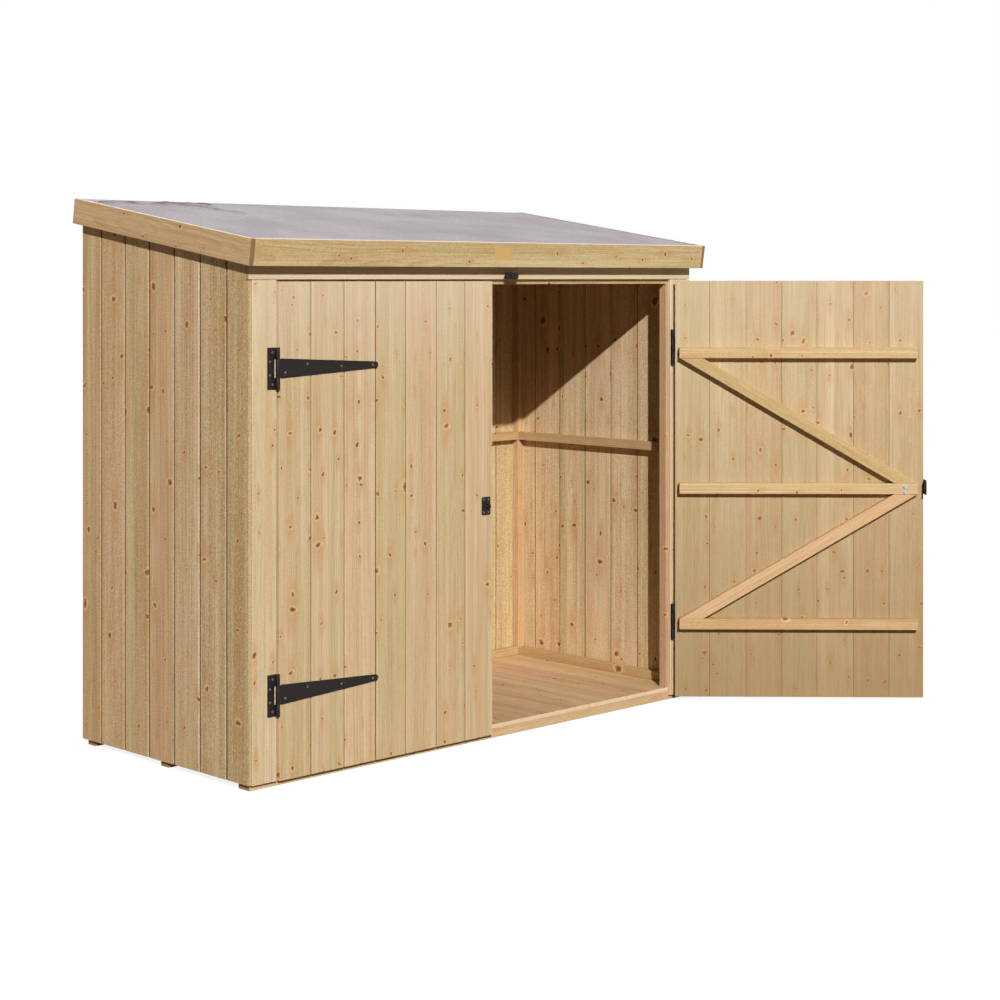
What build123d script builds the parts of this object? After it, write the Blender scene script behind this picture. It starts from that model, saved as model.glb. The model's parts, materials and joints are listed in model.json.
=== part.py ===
from build123d import *
from math import cos, radians, sin, sqrt, tan
import os

# Wooden bike shelter with a pent roof, low at the front, and a pair of ledged and braced doors.
# Millimetres, +Z up, front towards -Y. The origin is on the ground in the middle of the footprint,
# under the middle floor bearer. The left door is shut and the right one stands open.

# Building over its cladding
width = 1830.0
depth = 806.0
board = 12.0
wall_pitch = 121.8
door_pitch = 117.6
groove = 3.0
stud = 28.0

# Ground frame
bearer_width = 38.0
bearer_height = 28.0
floor_thickness = 12.0
sill_rebate = 20.0
front_boards_lift = 15.0
wall_boards_lift = 18.0

# Front wall and frame
head_board_depth = 100.2
corner_board_width = 85.0
mid_rail_bottom = 809.0

# Roof panel
eaves_height = 1493.2
roof_slope = 8.7
front_overhang = 47.0
rear_overhang = 5.0
side_overhang = 25.0
fascia_depth = 75.0
fascia_thickness = 12.0
deck_thickness = 12.0
felt_drop = 2.0
felt_thickness = 3.0
felt_turn_down = 30.0

# Door leaves: they fill the opening between the corner boards and lap over the frame around it
leaf_gap = 6.0
leaf_side_gap = 5.0
leaf_top_gap = 5.0
leaf_stand_off = 5.0
jamb_lap = 4.0
head_lap = 10.0
ledge_width = 35.0
ledge_thickness = 28.0
bottom_ledge_rise = 242.0
top_ledge_drop = 235.5
ledge_hinge_end = 11.0
ledge_free_end = 20.0
brace_width = 38.0
brace_end = 3.0
right_door_open = 134.5

# T-hinges at the bottom and top ledges, each pair a little off their middle
left_hinge_shifts = (-6.0, -1.5)
right_hinge_shifts = (2.0, 18.5)
hinge_set_in = 7.5
knuckle_radius = 6.0
knuckle_gap = 1.0
pin_radius = 3.0
pin_clearance = 0.3
plate_height = 114.0
plate_reach = 30.5
plate_notch = 8.0
plate_thickness = 3.0
strap_knuckle = 50.0
strap_thickness = 3.0
strap_length = 361.5
strap_root = 11.5
strap_root_width = 54.0
strap_tip_width = 18.5
screw_hole = 5.0
strap_holes = ((25.5, -12.0), (103.5, 9.0), (225.5, 0.0), (strap_length - 20.0, 0.0))
plate_holes = ((14.0, 44.0), (23.0, 18.0), (23.0, -18.0), (14.0, -44.0))

# Hasp on the right leaf and staple on the left one, at the middle ledge. The hasp's pin stands
# clear of the leaf's face and edge, and the hasp rests turned in past that edge.
lock_rise = 5.0
hasp_axis_out = 9.0
hasp_axis_over = 2.5
hasp_radius = 4.0
hasp_pin_radius = 2.0
hasp_height = 48.0
hasp_lug = 7.0
hasp_plate_length = 92.0
hasp_notch = 9.0
hasp_sheet = 2.5
hasp_leaf_length = 60.0
hasp_shoulder = 6.0
hasp_corner = 8.0
hasp_turned_in = 90.0
hasp_bolts = ((67.0, 2.0), (67.0, -16.0))
bolt_hole = 6.5
slot_centre = 31.0
slot_width = 12.0
slot_height = 22.0
staple_width = 35.0
staple_height = 54.0
staple_sheet = 2.0
loop_bar = 5.0
loop_height = 16.0
loop_reach = 22.0

# Turn button on the head board
button_side = 70.0
button_rise = 10.0
button_length = 54.0
button_width = 19.0
button_thickness = 6.5
boss_radius = 7.0
boss_height = 10.0
button_pin_radius = 3.0
button_head_radius = 6.0
button_head_height = 2.0
button_play = 0.3

# Faces that the pieces share
side = width / 2
front = -depth / 2
rear = depth / 2
inner_side = side - board
inner_front = front + board
inner_rear = rear - board
frame_side = inner_side - stud
frame_front = inner_front + stud
frame_rear = inner_rear - stud
floor_top = bearer_height + floor_thickness
leaf_edge = inner_side - corner_board_width - leaf_side_gap
leaf_width = leaf_edge - leaf_gap / 2
leaf_face = front - leaf_stand_off
leaf_back = leaf_face + board
jamb_inner = leaf_edge - jamb_lap
hinge_x = leaf_edge + hinge_set_in
hinge_y = leaf_face - strap_thickness
right_hinge = Axis((hinge_x, hinge_y, 0), (0, 0, 1))
hasp_x = leaf_gap / 2 - hasp_axis_over
hasp_y = leaf_face - hasp_axis_out
hasp_hinge = Axis((hasp_x, hasp_y, 0), (0, 0, 1))

# Roof planes
slope = radians(roof_slope)
roof_length = (front_overhang + depth + rear_overhang) / cos(slope)
roof_side = side + side_overhang - fascia_thickness
felt_bottom = felt_drop + felt_thickness
deck_bottom = felt_bottom + deck_thickness
deck_end = roof_length - felt_thickness
eaves = Plane(origin=(0, front - front_overhang, eaves_height), x_dir=(1, 0, 0), z_dir=(0, 0, 1))
roof_top = eaves.rotated((roof_slope, 0, 0))
under_deck = roof_top.offset(-deck_bottom)
rail_underside = under_deck.offset(-stud)
roof_section = Plane(origin=roof_top.origin, x_dir=roof_top.y_dir, z_dir=(1, 0, 0))
above_roof = eaves_height + roof_length * sin(slope)


def deck_underside(y):
    """Height of the underside of the roof deck at the distance y behind the origin."""
    return eaves_height + (y - front + front_overhang) * tan(slope) - deck_bottom / cos(slope)


# Heights in the front wall, downwards from the roof
top_rail_bottom = deck_underside(inner_front) - stud
head_board_bottom = deck_underside(front) - head_board_depth
leaf_top = head_board_bottom - leaf_top_gap
head_rail_bottom = leaf_top - head_lap
bottom_ledge = front_boards_lift + bottom_ledge_rise
top_ledge = leaf_top - top_ledge_drop
middle_ledge = (bottom_ledge + top_ledge) / 2
ledge_heights = (bottom_ledge, middle_ledge, top_ledge)
left_hinges = (bottom_ledge + left_hinge_shifts[0], top_ledge + left_hinge_shifts[1])
right_hinges = (bottom_ledge + right_hinge_shifts[0], top_ledge + right_hinge_shifts[1])
lock_height = middle_ledge + lock_rise
button_height = head_board_bottom + button_rise


def finish(piece, name):
    """Name a finished piece and write it to its STEP file."""
    piece.part.label = name
    export_step(piece.part, f"parts/{name}.step")


def timber(x, y, z, mode=Mode.ADD):
    """Square-edged timber between three pairs of faces, added to the part that is open."""
    with Locations(((x[0] + x[1]) / 2, (y[0] + y[1]) / 2, (z[0] + z[1]) / 2)):
        Box(abs(x[1] - x[0]), abs(y[1] - y[0]), abs(z[1] - z[0]), mode=mode)


def boarding(plane, length, pitch, low, high):
    """Upright boards with V-joints between them on the outer face, the outermost ones cut narrower.

    The plane lies level: its origin is on the inner face in the middle of the run,
    its x axis runs along the boards and its y axis points outwards.
    """
    boards = max(1, round(length / pitch))
    joints = [(pitch * (step - boards / 2), board) for step in range(1, boards)]
    with BuildPart() as panel:
        with BuildSketch(plane.offset(low)):
            Rectangle(length, board, align=(Align.CENTER, Align.MIN))
            with Locations(*joints):
                Rectangle(groove, groove, rotation=45, mode=Mode.SUBTRACT)
        extrude(amount=high - low)
    return panel


def brace_cut(length, rise):
    """Level length of a brace's end cut, for a brace of `brace_width` that spans length and rise."""
    width_squared = brace_width * brace_width
    diagonal = sqrt(length * length + rise * rise - width_squared)
    run = rise * (length * rise - brace_width * diagonal) / (rise * rise - width_squared)
    return length - run


os.makedirs("parts", exist_ok=True)

# Ground frame and floor
with BuildPart() as sill_rail:
    with BuildSketch(Plane.YZ.offset(-inner_side)):
        with BuildLine():
            Polyline(
                (inner_front, 0),
                (frame_front + sill_rebate, 0),
                (frame_front + sill_rebate, bearer_height),
                (frame_front, bearer_height),
                (frame_front, floor_top),
                (inner_front, floor_top),
                close=True,
            )
        make_face()
    extrude(amount=2 * inner_side)
finish(sill_rail, "sill_rail")

with BuildPart() as middle_bearer:
    timber((-inner_side, inner_side), (-bearer_width / 2, bearer_width / 2), (0, bearer_height))
finish(middle_bearer, "middle_bearer")

with BuildPart() as rear_bearer:
    timber((-inner_side, inner_side), (inner_rear - bearer_width, inner_rear), (0, bearer_height))
finish(rear_bearer, "rear_bearer")

with BuildPart() as floor_boards:
    timber((-inner_side, inner_side), (frame_front, inner_rear), (bearer_height, floor_top))
finish(floor_boards, "floor_boards")

# Cladding, cut off under the roof deck. The head board laps over the front ends of the side walls.
for name, hand in (("left", -1), ("right", 1)):
    wall_plane = Plane(origin=(hand * inner_side, 0, 0), x_dir=(0, -hand, 0), z_dir=(0, 0, 1))
    with BuildPart() as wall_boards:
        add(boarding(wall_plane, depth, wall_pitch, wall_boards_lift, above_roof))
        split(bisect_by=under_deck, keep=Keep.BOTTOM)
        timber(
            (hand * inner_side, hand * side),
            (front, inner_front),
            (head_board_bottom, above_roof),
            mode=Mode.SUBTRACT,
        )
    finish(wall_boards, f"{name}_wall_boards")

rear_plane = Plane(origin=(0, inner_rear, 0), x_dir=(1, 0, 0), z_dir=(0, 0, 1))
with BuildPart() as rear_wall_boards:
    add(boarding(rear_plane, 2 * inner_side, wall_pitch, wall_boards_lift, above_roof))
    split(bisect_by=under_deck, keep=Keep.BOTTOM)
finish(rear_wall_boards, "rear_wall_boards")

for name, hand in (("left", -1), ("right", 1)):
    with BuildPart() as corner_board:
        timber(
            (hand * (inner_side - corner_board_width), hand * inner_side),
            (front, inner_front),
            (front_boards_lift, head_board_bottom),
        )
    finish(corner_board, f"{name}_corner_board")

with BuildPart() as head_board:
    timber((-side, side), (front, inner_front), (head_board_bottom, above_roof))
    split(bisect_by=under_deck, keep=Keep.BOTTOM)
finish(head_board, "head_board")

# Front frame
for name, hand in (("left", -1), ("right", 1)):
    with BuildPart() as jamb_post:
        timber(
            (hand * jamb_inner, hand * (jamb_inner + stud)),
            (inner_front, frame_front),
            (floor_top, top_rail_bottom),
        )
    finish(jamb_post, f"{name}_jamb_post")

with BuildPart() as head_rail:
    timber(
        (-jamb_inner, jamb_inner),
        (inner_front, frame_front),
        (head_rail_bottom, head_rail_bottom + stud),
    )
finish(head_rail, "head_rail")

with BuildPart() as front_top_rail:
    timber((-inner_side, inner_side), (inner_front, frame_front), (top_rail_bottom, above_roof))
    split(bisect_by=under_deck, keep=Keep.BOTTOM)
finish(front_top_rail, "front_top_rail")

# Side frames: a post in each corner, rails between them and a sloping rail on top
for name, hand in (("left", -1), ("right", 1)):
    across = (hand * frame_side, hand * inner_side)
    with BuildPart() as wall_posts:
        timber(across, (inner_front, frame_front), (floor_top, top_rail_bottom))
        timber(across, (frame_rear, inner_rear), (floor_top, above_roof))
        split(bisect_by=under_deck, keep=Keep.BOTTOM)
    finish(wall_posts, f"{name}_wall_posts")

    with BuildPart() as wall_rails:
        for low in (floor_top, mid_rail_bottom):
            timber(across, (frame_front, frame_rear), (low, low + stud))
    finish(wall_rails, f"{name}_wall_rails")

    with BuildPart() as top_rail:
        timber(across, (frame_front, frame_rear), (floor_top, above_roof))
        split(bisect_by=under_deck, keep=Keep.BOTTOM)
        split(bisect_by=rail_underside, keep=Keep.TOP)
    finish(top_rail, f"{name}_top_rail")

# Rear frame and the rafter
with BuildPart() as rear_wall_rails:
    for low in (floor_top, mid_rail_bottom):
        for hand in (-1, 1):
            timber((hand * stud / 2, hand * frame_side), (frame_rear, inner_rear), (low, low + stud))
finish(rear_wall_rails, "rear_wall_rails")

with BuildPart() as rear_top_rail:
    timber((-frame_side, frame_side), (frame_rear, inner_rear), (floor_top, above_roof))
    split(bisect_by=under_deck, keep=Keep.BOTTOM)
    split(bisect_by=rail_underside, keep=Keep.TOP)
finish(rear_top_rail, "rear_top_rail")

with BuildPart() as rear_middle_stud:
    timber((-stud / 2, stud / 2), (frame_rear, inner_rear), (floor_top, above_roof))
    split(bisect_by=rail_underside, keep=Keep.BOTTOM)
finish(rear_middle_stud, "rear_middle_stud")

with BuildPart() as roof_rafter:
    timber((-stud / 2, stud / 2), (frame_front, frame_rear), (floor_top, above_roof))
    split(bisect_by=under_deck, keep=Keep.BOTTOM)
    split(bisect_by=rail_underside, keep=Keep.TOP)
finish(roof_rafter, "roof_rafter")

# Roof: deck and felt lie between the fascias, and the felt turns down over the deck's rear edge
with BuildPart() as front_fascia:
    with BuildSketch(roof_section.offset(-roof_side)):
        Rectangle(fascia_thickness, fascia_depth, align=(Align.MIN, Align.MAX))
    extrude(amount=2 * roof_side)
finish(front_fascia, "front_fascia")

for name, hand in (("left", -1), ("right", 1)):
    with BuildPart() as side_fascia:
        with BuildSketch(roof_section.offset(hand * roof_side)):
            Rectangle(roof_length, fascia_depth, align=(Align.MIN, Align.MAX))
        extrude(amount=hand * fascia_thickness)
    finish(side_fascia, f"{name}_fascia")

with BuildPart() as roof_deck:
    with BuildSketch(roof_section.offset(-roof_side)):
        with Locations((fascia_thickness, -felt_bottom)):
            Rectangle(deck_end - fascia_thickness, deck_thickness, align=(Align.MIN, Align.MAX))
    extrude(amount=2 * roof_side)
finish(roof_deck, "roof_deck")

with BuildPart() as roof_felt:
    with BuildSketch(roof_section.offset(-roof_side)):
        with Locations((fascia_thickness, -felt_drop)):
            Rectangle(roof_length - fascia_thickness, felt_thickness, align=(Align.MIN, Align.MAX))
        with Locations((roof_length, -felt_drop)):
            Rectangle(felt_thickness, felt_turn_down, align=(Align.MAX, Align.MAX))
    extrude(amount=2 * roof_side)
finish(roof_felt, "roof_felt")

# Left leaf, shut. The right leaf is its mirror image, swung open about its own hinges.
leaf_middle = -(leaf_gap + leaf_width) / 2
leaf_plane = Plane(origin=(leaf_middle, leaf_back, 0), x_dir=(-1, 0, 0), z_dir=(0, 0, 1))
left_door_boards = boarding(leaf_plane, leaf_width, door_pitch, front_boards_lift, leaf_top)

ledge_start = -leaf_edge + ledge_hinge_end
ledge_end = -leaf_gap / 2 - ledge_free_end
back_plane = Plane(origin=(0, leaf_back + ledge_thickness, 0), x_dir=(1, 0, 0), z_dir=(0, -1, 0))
with BuildPart() as left_door_ledges:
    with BuildSketch(back_plane):
        with Locations(*[((ledge_start + ledge_end) / 2, height) for height in ledge_heights]):
            Rectangle(ledge_end - ledge_start, ledge_width)
    extrude(amount=ledge_thickness)

brace_start = ledge_start + brace_end
brace_stop = ledge_end - brace_end
with BuildPart() as left_door_braces:
    with BuildSketch(back_plane):
        for outer, inner in (
            (bottom_ledge + ledge_width / 2, middle_ledge - ledge_width / 2),
            (top_ledge - ledge_width / 2, middle_ledge + ledge_width / 2),
        ):
            cut = brace_cut(brace_stop - brace_start, abs(inner - outer))
            with BuildLine():
                Polyline(
                    (brace_start, outer),
                    (brace_start + cut, outer),
                    (brace_stop, inner),
                    (brace_stop - cut, inner),
                    close=True,
                )
            make_face()
    extrude(amount=ledge_thickness)

# T-hinges: the plate is on the corner board and carries the pin, the strap is on the leaf
knuckle_end = (plate_height - strap_knuckle) / 2 - knuckle_gap
tip_start = strap_length - strap_tip_width / 2


def hinge_plate(height):
    """Plate of a hinge on the left, with its pin and the two knuckles that hold it."""
    plate_plane = Plane(origin=(-hinge_x, front, height), x_dir=(-1, 0, 0), z_dir=(0, 1, 0))
    with BuildPart() as plate:
        with BuildSketch(plate_plane):
            Rectangle(plate_reach, plate_height, align=(Align.MIN, Align.CENTER))
            Rectangle(
                plate_notch,
                strap_knuckle + 2 * knuckle_gap,
                align=(Align.MIN, Align.CENTER),
                mode=Mode.SUBTRACT,
            )
            with Locations(*plate_holes):
                Circle(screw_hole / 2, mode=Mode.SUBTRACT)
        extrude(amount=-plate_thickness)
        for low in (height - plate_height / 2, height + plate_height / 2 - knuckle_end):
            with BuildSketch(Plane.XY.offset(low)):
                with Locations((-hinge_x, hinge_y)):
                    Circle(knuckle_radius)
                    Rectangle(knuckle_radius, front - hinge_y, align=(Align.MAX, Align.MIN))
            extrude(amount=knuckle_end)
        with BuildSketch(Plane.XY.offset(height - plate_height / 2)):
            with Locations((-hinge_x, hinge_y)):
                Circle(pin_radius)
        extrude(amount=plate_height)
    return plate.part


def hinge_strap(height):
    """Tapering strap of a hinge on the left, with the knuckle that turns on the pin."""
    strap_plane = Plane(origin=(-hinge_x, hinge_y, height), x_dir=(1, 0, 0), z_dir=(0, -1, 0))
    with BuildPart() as strap:
        with BuildSketch(strap_plane):
            with BuildLine():
                Polyline(
                    (tip_start, -strap_tip_width / 2),
                    (strap_root, -strap_root_width / 2),
                    (strap_root, -strap_knuckle / 2),
                    (0, -strap_knuckle / 2),
                    (0, strap_knuckle / 2),
                    (strap_root, strap_knuckle / 2),
                    (strap_root, strap_root_width / 2),
                    (tip_start, strap_tip_width / 2),
                )
                ThreePointArc(
                    (tip_start, strap_tip_width / 2),
                    (strap_length, 0),
                    (tip_start, -strap_tip_width / 2),
                )
            make_face()
            with Locations(*strap_holes):
                Circle(screw_hole / 2, mode=Mode.SUBTRACT)
        extrude(amount=-strap_thickness)
        with BuildSketch(Plane.XY.offset(height - strap_knuckle / 2)):
            with Locations((-hinge_x, hinge_y)):
                Circle(knuckle_radius)
        extrude(amount=strap_knuckle)
        with BuildSketch(Plane.XY.offset(height - strap_knuckle / 2)):
            with Locations((-hinge_x, hinge_y)):
                Circle(pin_radius + pin_clearance)
        extrude(amount=strap_knuckle, mode=Mode.SUBTRACT)
    return strap.part


left_plates = [hinge_plate(height) for height in left_hinges]
right_plates = [mirror(hinge_plate(height), about=Plane.YZ) for height in right_hinges]
for name, plates in (("left", left_plates), ("right", right_plates)):
    with BuildPart() as hinge_plates:
        add(plates)
    finish(hinge_plates, f"{name}_hinge_plates")

left_straps = [hinge_strap(height) for height in left_hinges]
right_straps = [mirror(hinge_strap(height), about=Plane.YZ) for height in right_hinges]
open_straps = [strap.rotate(right_hinge, right_door_open) for strap in right_straps]
for name, straps in (("left", left_straps), ("right", open_straps)):
    with BuildPart() as hinge_straps:
        add(straps)
    finish(hinge_straps, f"{name}_hinge_straps")

left_leaf = {
    "door_boards": left_door_boards,
    "door_ledges": left_door_ledges,
    "door_braces": left_door_braces,
}
for name, piece in left_leaf.items():
    finish(piece, f"left_{name}")
    mirrored = mirror(piece.part, about=Plane.YZ)
    with BuildPart() as right_piece:
        add(mirrored.rotate(right_hinge, right_door_open))
    finish(right_piece, f"right_{name}")

# Staple on the left leaf: a plate with a U-shaped loop that goes through the hasp's slot
staple_x = hasp_x - slot_centre
loop_turn = (loop_height - loop_bar) / 2
loop_straight = leaf_face - loop_reach + loop_height / 2
with BuildPart() as hasp_staple:
    with BuildSketch(Plane(origin=(staple_x, leaf_face, lock_height), x_dir=(1, 0, 0), z_dir=(0, -1, 0))):
        RectangleRounded(staple_width, staple_height, hasp_corner / 2)
        with GridLocations(staple_width - 2 * hasp_corner, staple_height - 2 * hasp_corner, 2, 2):
            Circle(screw_hole / 2, mode=Mode.SUBTRACT)
    extrude(amount=staple_sheet)
    with BuildLine(Plane.YZ.offset(staple_x)) as loop_path:
        Line((leaf_face - staple_sheet, lock_height + loop_turn), (loop_straight, lock_height + loop_turn))
        ThreePointArc(
            (loop_straight, lock_height + loop_turn),
            (loop_straight - loop_turn, lock_height),
            (loop_straight, lock_height - loop_turn),
        )
        Line((loop_straight, lock_height - loop_turn), (leaf_face - staple_sheet, lock_height - loop_turn))
    with BuildSketch(
        Plane(
            origin=(staple_x, leaf_face - staple_sheet, lock_height + loop_turn),
            x_dir=(1, 0, 0),
            z_dir=(0, -1, 0),
        )
    ):
        RegularPolygon(loop_bar / 2, 8, rotation=360 / 16)
    sweep(path=loop_path.line)
finish(hasp_staple, "hasp_staple")

# Hasp: two lugs hold its pin clear of the door, so that its leaf folds in past the edge or flat back
hasp_face = Plane(origin=(hasp_x, leaf_face, lock_height), x_dir=(1, 0, 0), z_dir=(0, -1, 0))
with BuildPart() as hasp_plate_shut:
    with BuildSketch(hasp_face):
        with Locations((hasp_axis_over, 0)):
            Rectangle(hasp_plate_length, hasp_height, align=(Align.MIN, Align.CENTER))
            Rectangle(
                hasp_notch,
                hasp_height - 2 * hasp_lug,
                align=(Align.MIN, Align.CENTER),
                mode=Mode.SUBTRACT,
            )
        with Locations(*hasp_bolts):
            Circle(bolt_hole / 2, mode=Mode.SUBTRACT)
    extrude(amount=hasp_sheet)
    for low in (lock_height - hasp_height / 2, lock_height + hasp_height / 2 - hasp_lug):
        with BuildSketch(Plane.XY.offset(low)):
            with Locations((hasp_x, hasp_y)):
                Circle(hasp_radius)
            with Locations((hasp_x + hasp_axis_over, hasp_y)):
                Rectangle(hasp_sheet, hasp_axis_out, align=(Align.MIN, Align.MIN))
        extrude(amount=hasp_lug)
    with BuildSketch(Plane.XY.offset(lock_height - hasp_height / 2)):
        with Locations((hasp_x, hasp_y)):
            Circle(hasp_pin_radius)
    extrude(amount=hasp_height)
with BuildPart() as hasp_plate:
    add(hasp_plate_shut.part.rotate(right_hinge, right_door_open))
finish(hasp_plate, "hasp_plate")

leaf_height = hasp_height - 2 * (hasp_lug + knuckle_gap)
with BuildPart() as hasp_leaf_shut:
    leaf_sheet_plane = Plane(
        origin=(hasp_x, hasp_y - hasp_sheet / 2, lock_height), x_dir=(-1, 0, 0), z_dir=(0, 1, 0)
    )
    with BuildSketch(leaf_sheet_plane):
        Rectangle(hasp_leaf_length, leaf_height, align=(Align.MIN, Align.CENTER))
        with Locations((hasp_shoulder, 0)):
            Rectangle(
                hasp_leaf_length - hasp_shoulder,
                hasp_height,
                align=(Align.MIN, Align.CENTER),
            )
        with Locations((slot_centre, 0)):
            RectangleRounded(slot_width, slot_height, slot_width / 4, mode=Mode.SUBTRACT)
    extrude(amount=hasp_sheet)
    free_corners = hasp_leaf_shut.edges().filter_by(Axis.Y).group_by(Axis.X)[0]
    fillet(free_corners, radius=hasp_corner)
    with BuildSketch(Plane.XY.offset(lock_height - leaf_height / 2)):
        with Locations((hasp_x, hasp_y)):
            Circle(hasp_radius)
    extrude(amount=leaf_height)
    with BuildSketch(Plane.XY.offset(lock_height - leaf_height / 2)):
        with Locations((hasp_x, hasp_y)):
            Circle(hasp_pin_radius + pin_clearance)
    extrude(amount=leaf_height, mode=Mode.SUBTRACT)
with BuildPart() as hasp_leaf:
    turned_leaf = hasp_leaf_shut.part.rotate(hasp_hinge, -hasp_turned_in)
    add(turned_leaf.rotate(right_hinge, right_door_open))
finish(hasp_leaf, "hasp_leaf")

# Turn button: the boss is fixed to the head board, its pin carries the button under a flat head
boss_plane = Plane(origin=(button_side, front, button_height), x_dir=(1, 0, 0), z_dir=(0, -1, 0))
pin_length = boss_height + button_thickness + 2 * button_play
with BuildPart() as turn_button_boss:
    with BuildSketch(boss_plane):
        Circle(boss_radius)
    extrude(amount=boss_height)
    with BuildSketch(boss_plane):
        Circle(button_pin_radius)
    extrude(amount=pin_length)
    with BuildSketch(boss_plane.offset(pin_length)):
        Circle(button_head_radius)
    extrude(amount=button_head_height)
finish(turn_button_boss, "turn_button_boss")

with BuildPart() as turn_button:
    with BuildSketch(boss_plane.offset(boss_height + button_play)):
        SlotOverall(button_length, button_width)
        Circle(button_pin_radius + button_play, mode=Mode.SUBTRACT)
    extrude(amount=button_thickness)
finish(turn_button, "turn_button")
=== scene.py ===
"""Looks of a wooden bike shelter: boarded walls, felted pent roof, ledged and braced doors.

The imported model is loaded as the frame. Every timber is then made again as a board of its own with
eased edges and its own grain, and the ironmongery gets soft edges and its fixings. Sizes are in
millimetres in the row frame until a piece is finished, when they become metres.
"""

from __future__ import annotations

import sys

import json
import logging
import math
import random
from dataclasses import dataclass, replace
from enum import Enum
from functools import partial
from typing import Any, Callable, Iterable, Sequence

import bmesh
import bpy
from mathutils import Matrix, Vector, noise


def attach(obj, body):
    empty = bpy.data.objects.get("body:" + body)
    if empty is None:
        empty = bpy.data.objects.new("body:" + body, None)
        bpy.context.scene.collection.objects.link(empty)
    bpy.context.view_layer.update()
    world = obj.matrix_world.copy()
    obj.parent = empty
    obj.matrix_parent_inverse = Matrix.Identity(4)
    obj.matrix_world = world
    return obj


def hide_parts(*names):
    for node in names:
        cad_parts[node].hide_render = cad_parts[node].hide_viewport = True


LOG = logging.getLogger("bike_shelter")
MM = 0.001

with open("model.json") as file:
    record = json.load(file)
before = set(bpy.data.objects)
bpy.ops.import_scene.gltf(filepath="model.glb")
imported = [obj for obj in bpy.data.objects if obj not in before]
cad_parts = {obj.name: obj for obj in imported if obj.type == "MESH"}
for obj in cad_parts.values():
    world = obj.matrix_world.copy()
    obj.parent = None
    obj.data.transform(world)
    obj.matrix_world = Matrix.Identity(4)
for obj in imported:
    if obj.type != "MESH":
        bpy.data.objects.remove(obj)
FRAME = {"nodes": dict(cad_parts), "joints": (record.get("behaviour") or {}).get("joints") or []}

Pair = tuple[float, float]
Triple = tuple[float, float, float]
Socket = bpy.types.NodeSocket
Adder = Callable[..., bpy.types.bpy_prop_collection]


class Way(Enum):
    """Directions in the row frame that a timber's length or its face side can point in."""

    RIGHT = (1.0, 0.0, 0.0)
    LEFT = (-1.0, 0.0, 0.0)
    BACK = (0.0, 1.0, 0.0)
    FRONT = (0.0, -1.0, 0.0)
    UP = (0.0, 0.0, 1.0)

    @property
    def vector(self) -> Vector:
        """The direction as a unit vector."""
        return Vector(self.value)


# Sign on x, name, and the ways out of and into the shelter, for its two sides.
HANDS = ((-1, "left", Way.LEFT, Way.RIGHT), (1, "right", Way.RIGHT, Way.LEFT))


class Body(Enum):
    """CAD bodies that the pieces ride on."""

    SHELTER = "shelter"
    LEFT_DOOR = "left_door"
    RIGHT_DOOR = "right_door"
    HASP_LEAF = "hasp_leaf"
    TURN_BUTTON = "turn_button"


class Slot(Enum):
    """Material slots of the record."""

    CLADDING = "cladding"
    FRAMING = "framing"
    ROOF_TIMBER = "roof_timber"
    FELT = "roofing_felt"
    IRONMONGERY = "black_ironmongery"


@dataclass(frozen=True)
class ShelterSizes:
    """Faces and heights that the pieces share, as the part's source gives them, in millimetres.

    The rough tops stand above the roof until the plane under the deck cuts them off.
    """

    side: float = 915.0
    front: float = -403.0
    rear: float = 403.0
    board: float = 12.0
    stud: float = 28.0
    floor_top: float = 40.0
    floor_bottom: float = 28.0
    walls_low: float = 18.0
    fronts_low: float = 15.0
    head_board_low: float = 1383.0
    head_rail_low: float = 1368.0
    mid_rail_low: float = 809.0
    front_rough: float = 1560.0
    rear_rough: float = 1640.0
    hinge: float = 820.5
    ledge_back: float = -368.0
    eaves_y: float = -450.0
    eaves_z: float = 1493.2
    slope: float = math.radians(8.7)
    roof_side: float = 940.0
    rear_overhang: float = 5.0
    fascia: float = 12.0
    fascia_depth: float = 75.0
    felt_drop: float = 2.0
    felt: float = 3.0
    deck: float = 12.0

    @property
    def inner_side(self) -> float:
        """Inner face of the side boards."""
        return self.side - self.board

    @property
    def inner_front(self) -> float:
        """Inner face of the front boards."""
        return self.front + self.board

    @property
    def inner_rear(self) -> float:
        """Inner face of the rear boards."""
        return self.rear - self.board

    @property
    def frame_side(self) -> float:
        """Inner face of the side frames."""
        return self.inner_side - self.stud

    @property
    def frame_front(self) -> float:
        """Inner face of the front frame."""
        return self.inner_front + self.stud

    @property
    def frame_rear(self) -> float:
        """Inner face of the rear frame."""
        return self.inner_rear - self.stud

    @property
    def roof_length(self) -> float:
        """Length of the roof along its slope."""
        return (self.rear + self.rear_overhang - self.eaves_y) / math.cos(self.slope)

    def under_deck(self, y: float, depth: float = 0.0) -> float:
        """Height of the deck's underside, or of a face that is `depth` below it, at y."""
        down = (self.felt_drop + self.felt + self.deck + depth) / math.cos(self.slope)
        return self.eaves_z + (y - self.eaves_y) * math.tan(self.slope) - down


SIZES = ShelterSizes()


def linear(colour: str) -> tuple[float, float, float, float]:
    """Turn an sRGB colour into a linear one.

    Args:
        colour: The colour in hex, after a number sign.

    Returns:
        Linear red, green, blue and alpha.
    """
    parts = [int(colour[i : i + 2], 16) / 255.0 for i in (1, 3, 5)]
    made = [p / 12.92 if p <= 0.04045 else ((p + 0.055) / 1.055) ** 2.4 for p in parts]
    return made[0], made[1], made[2], 1.0


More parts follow.
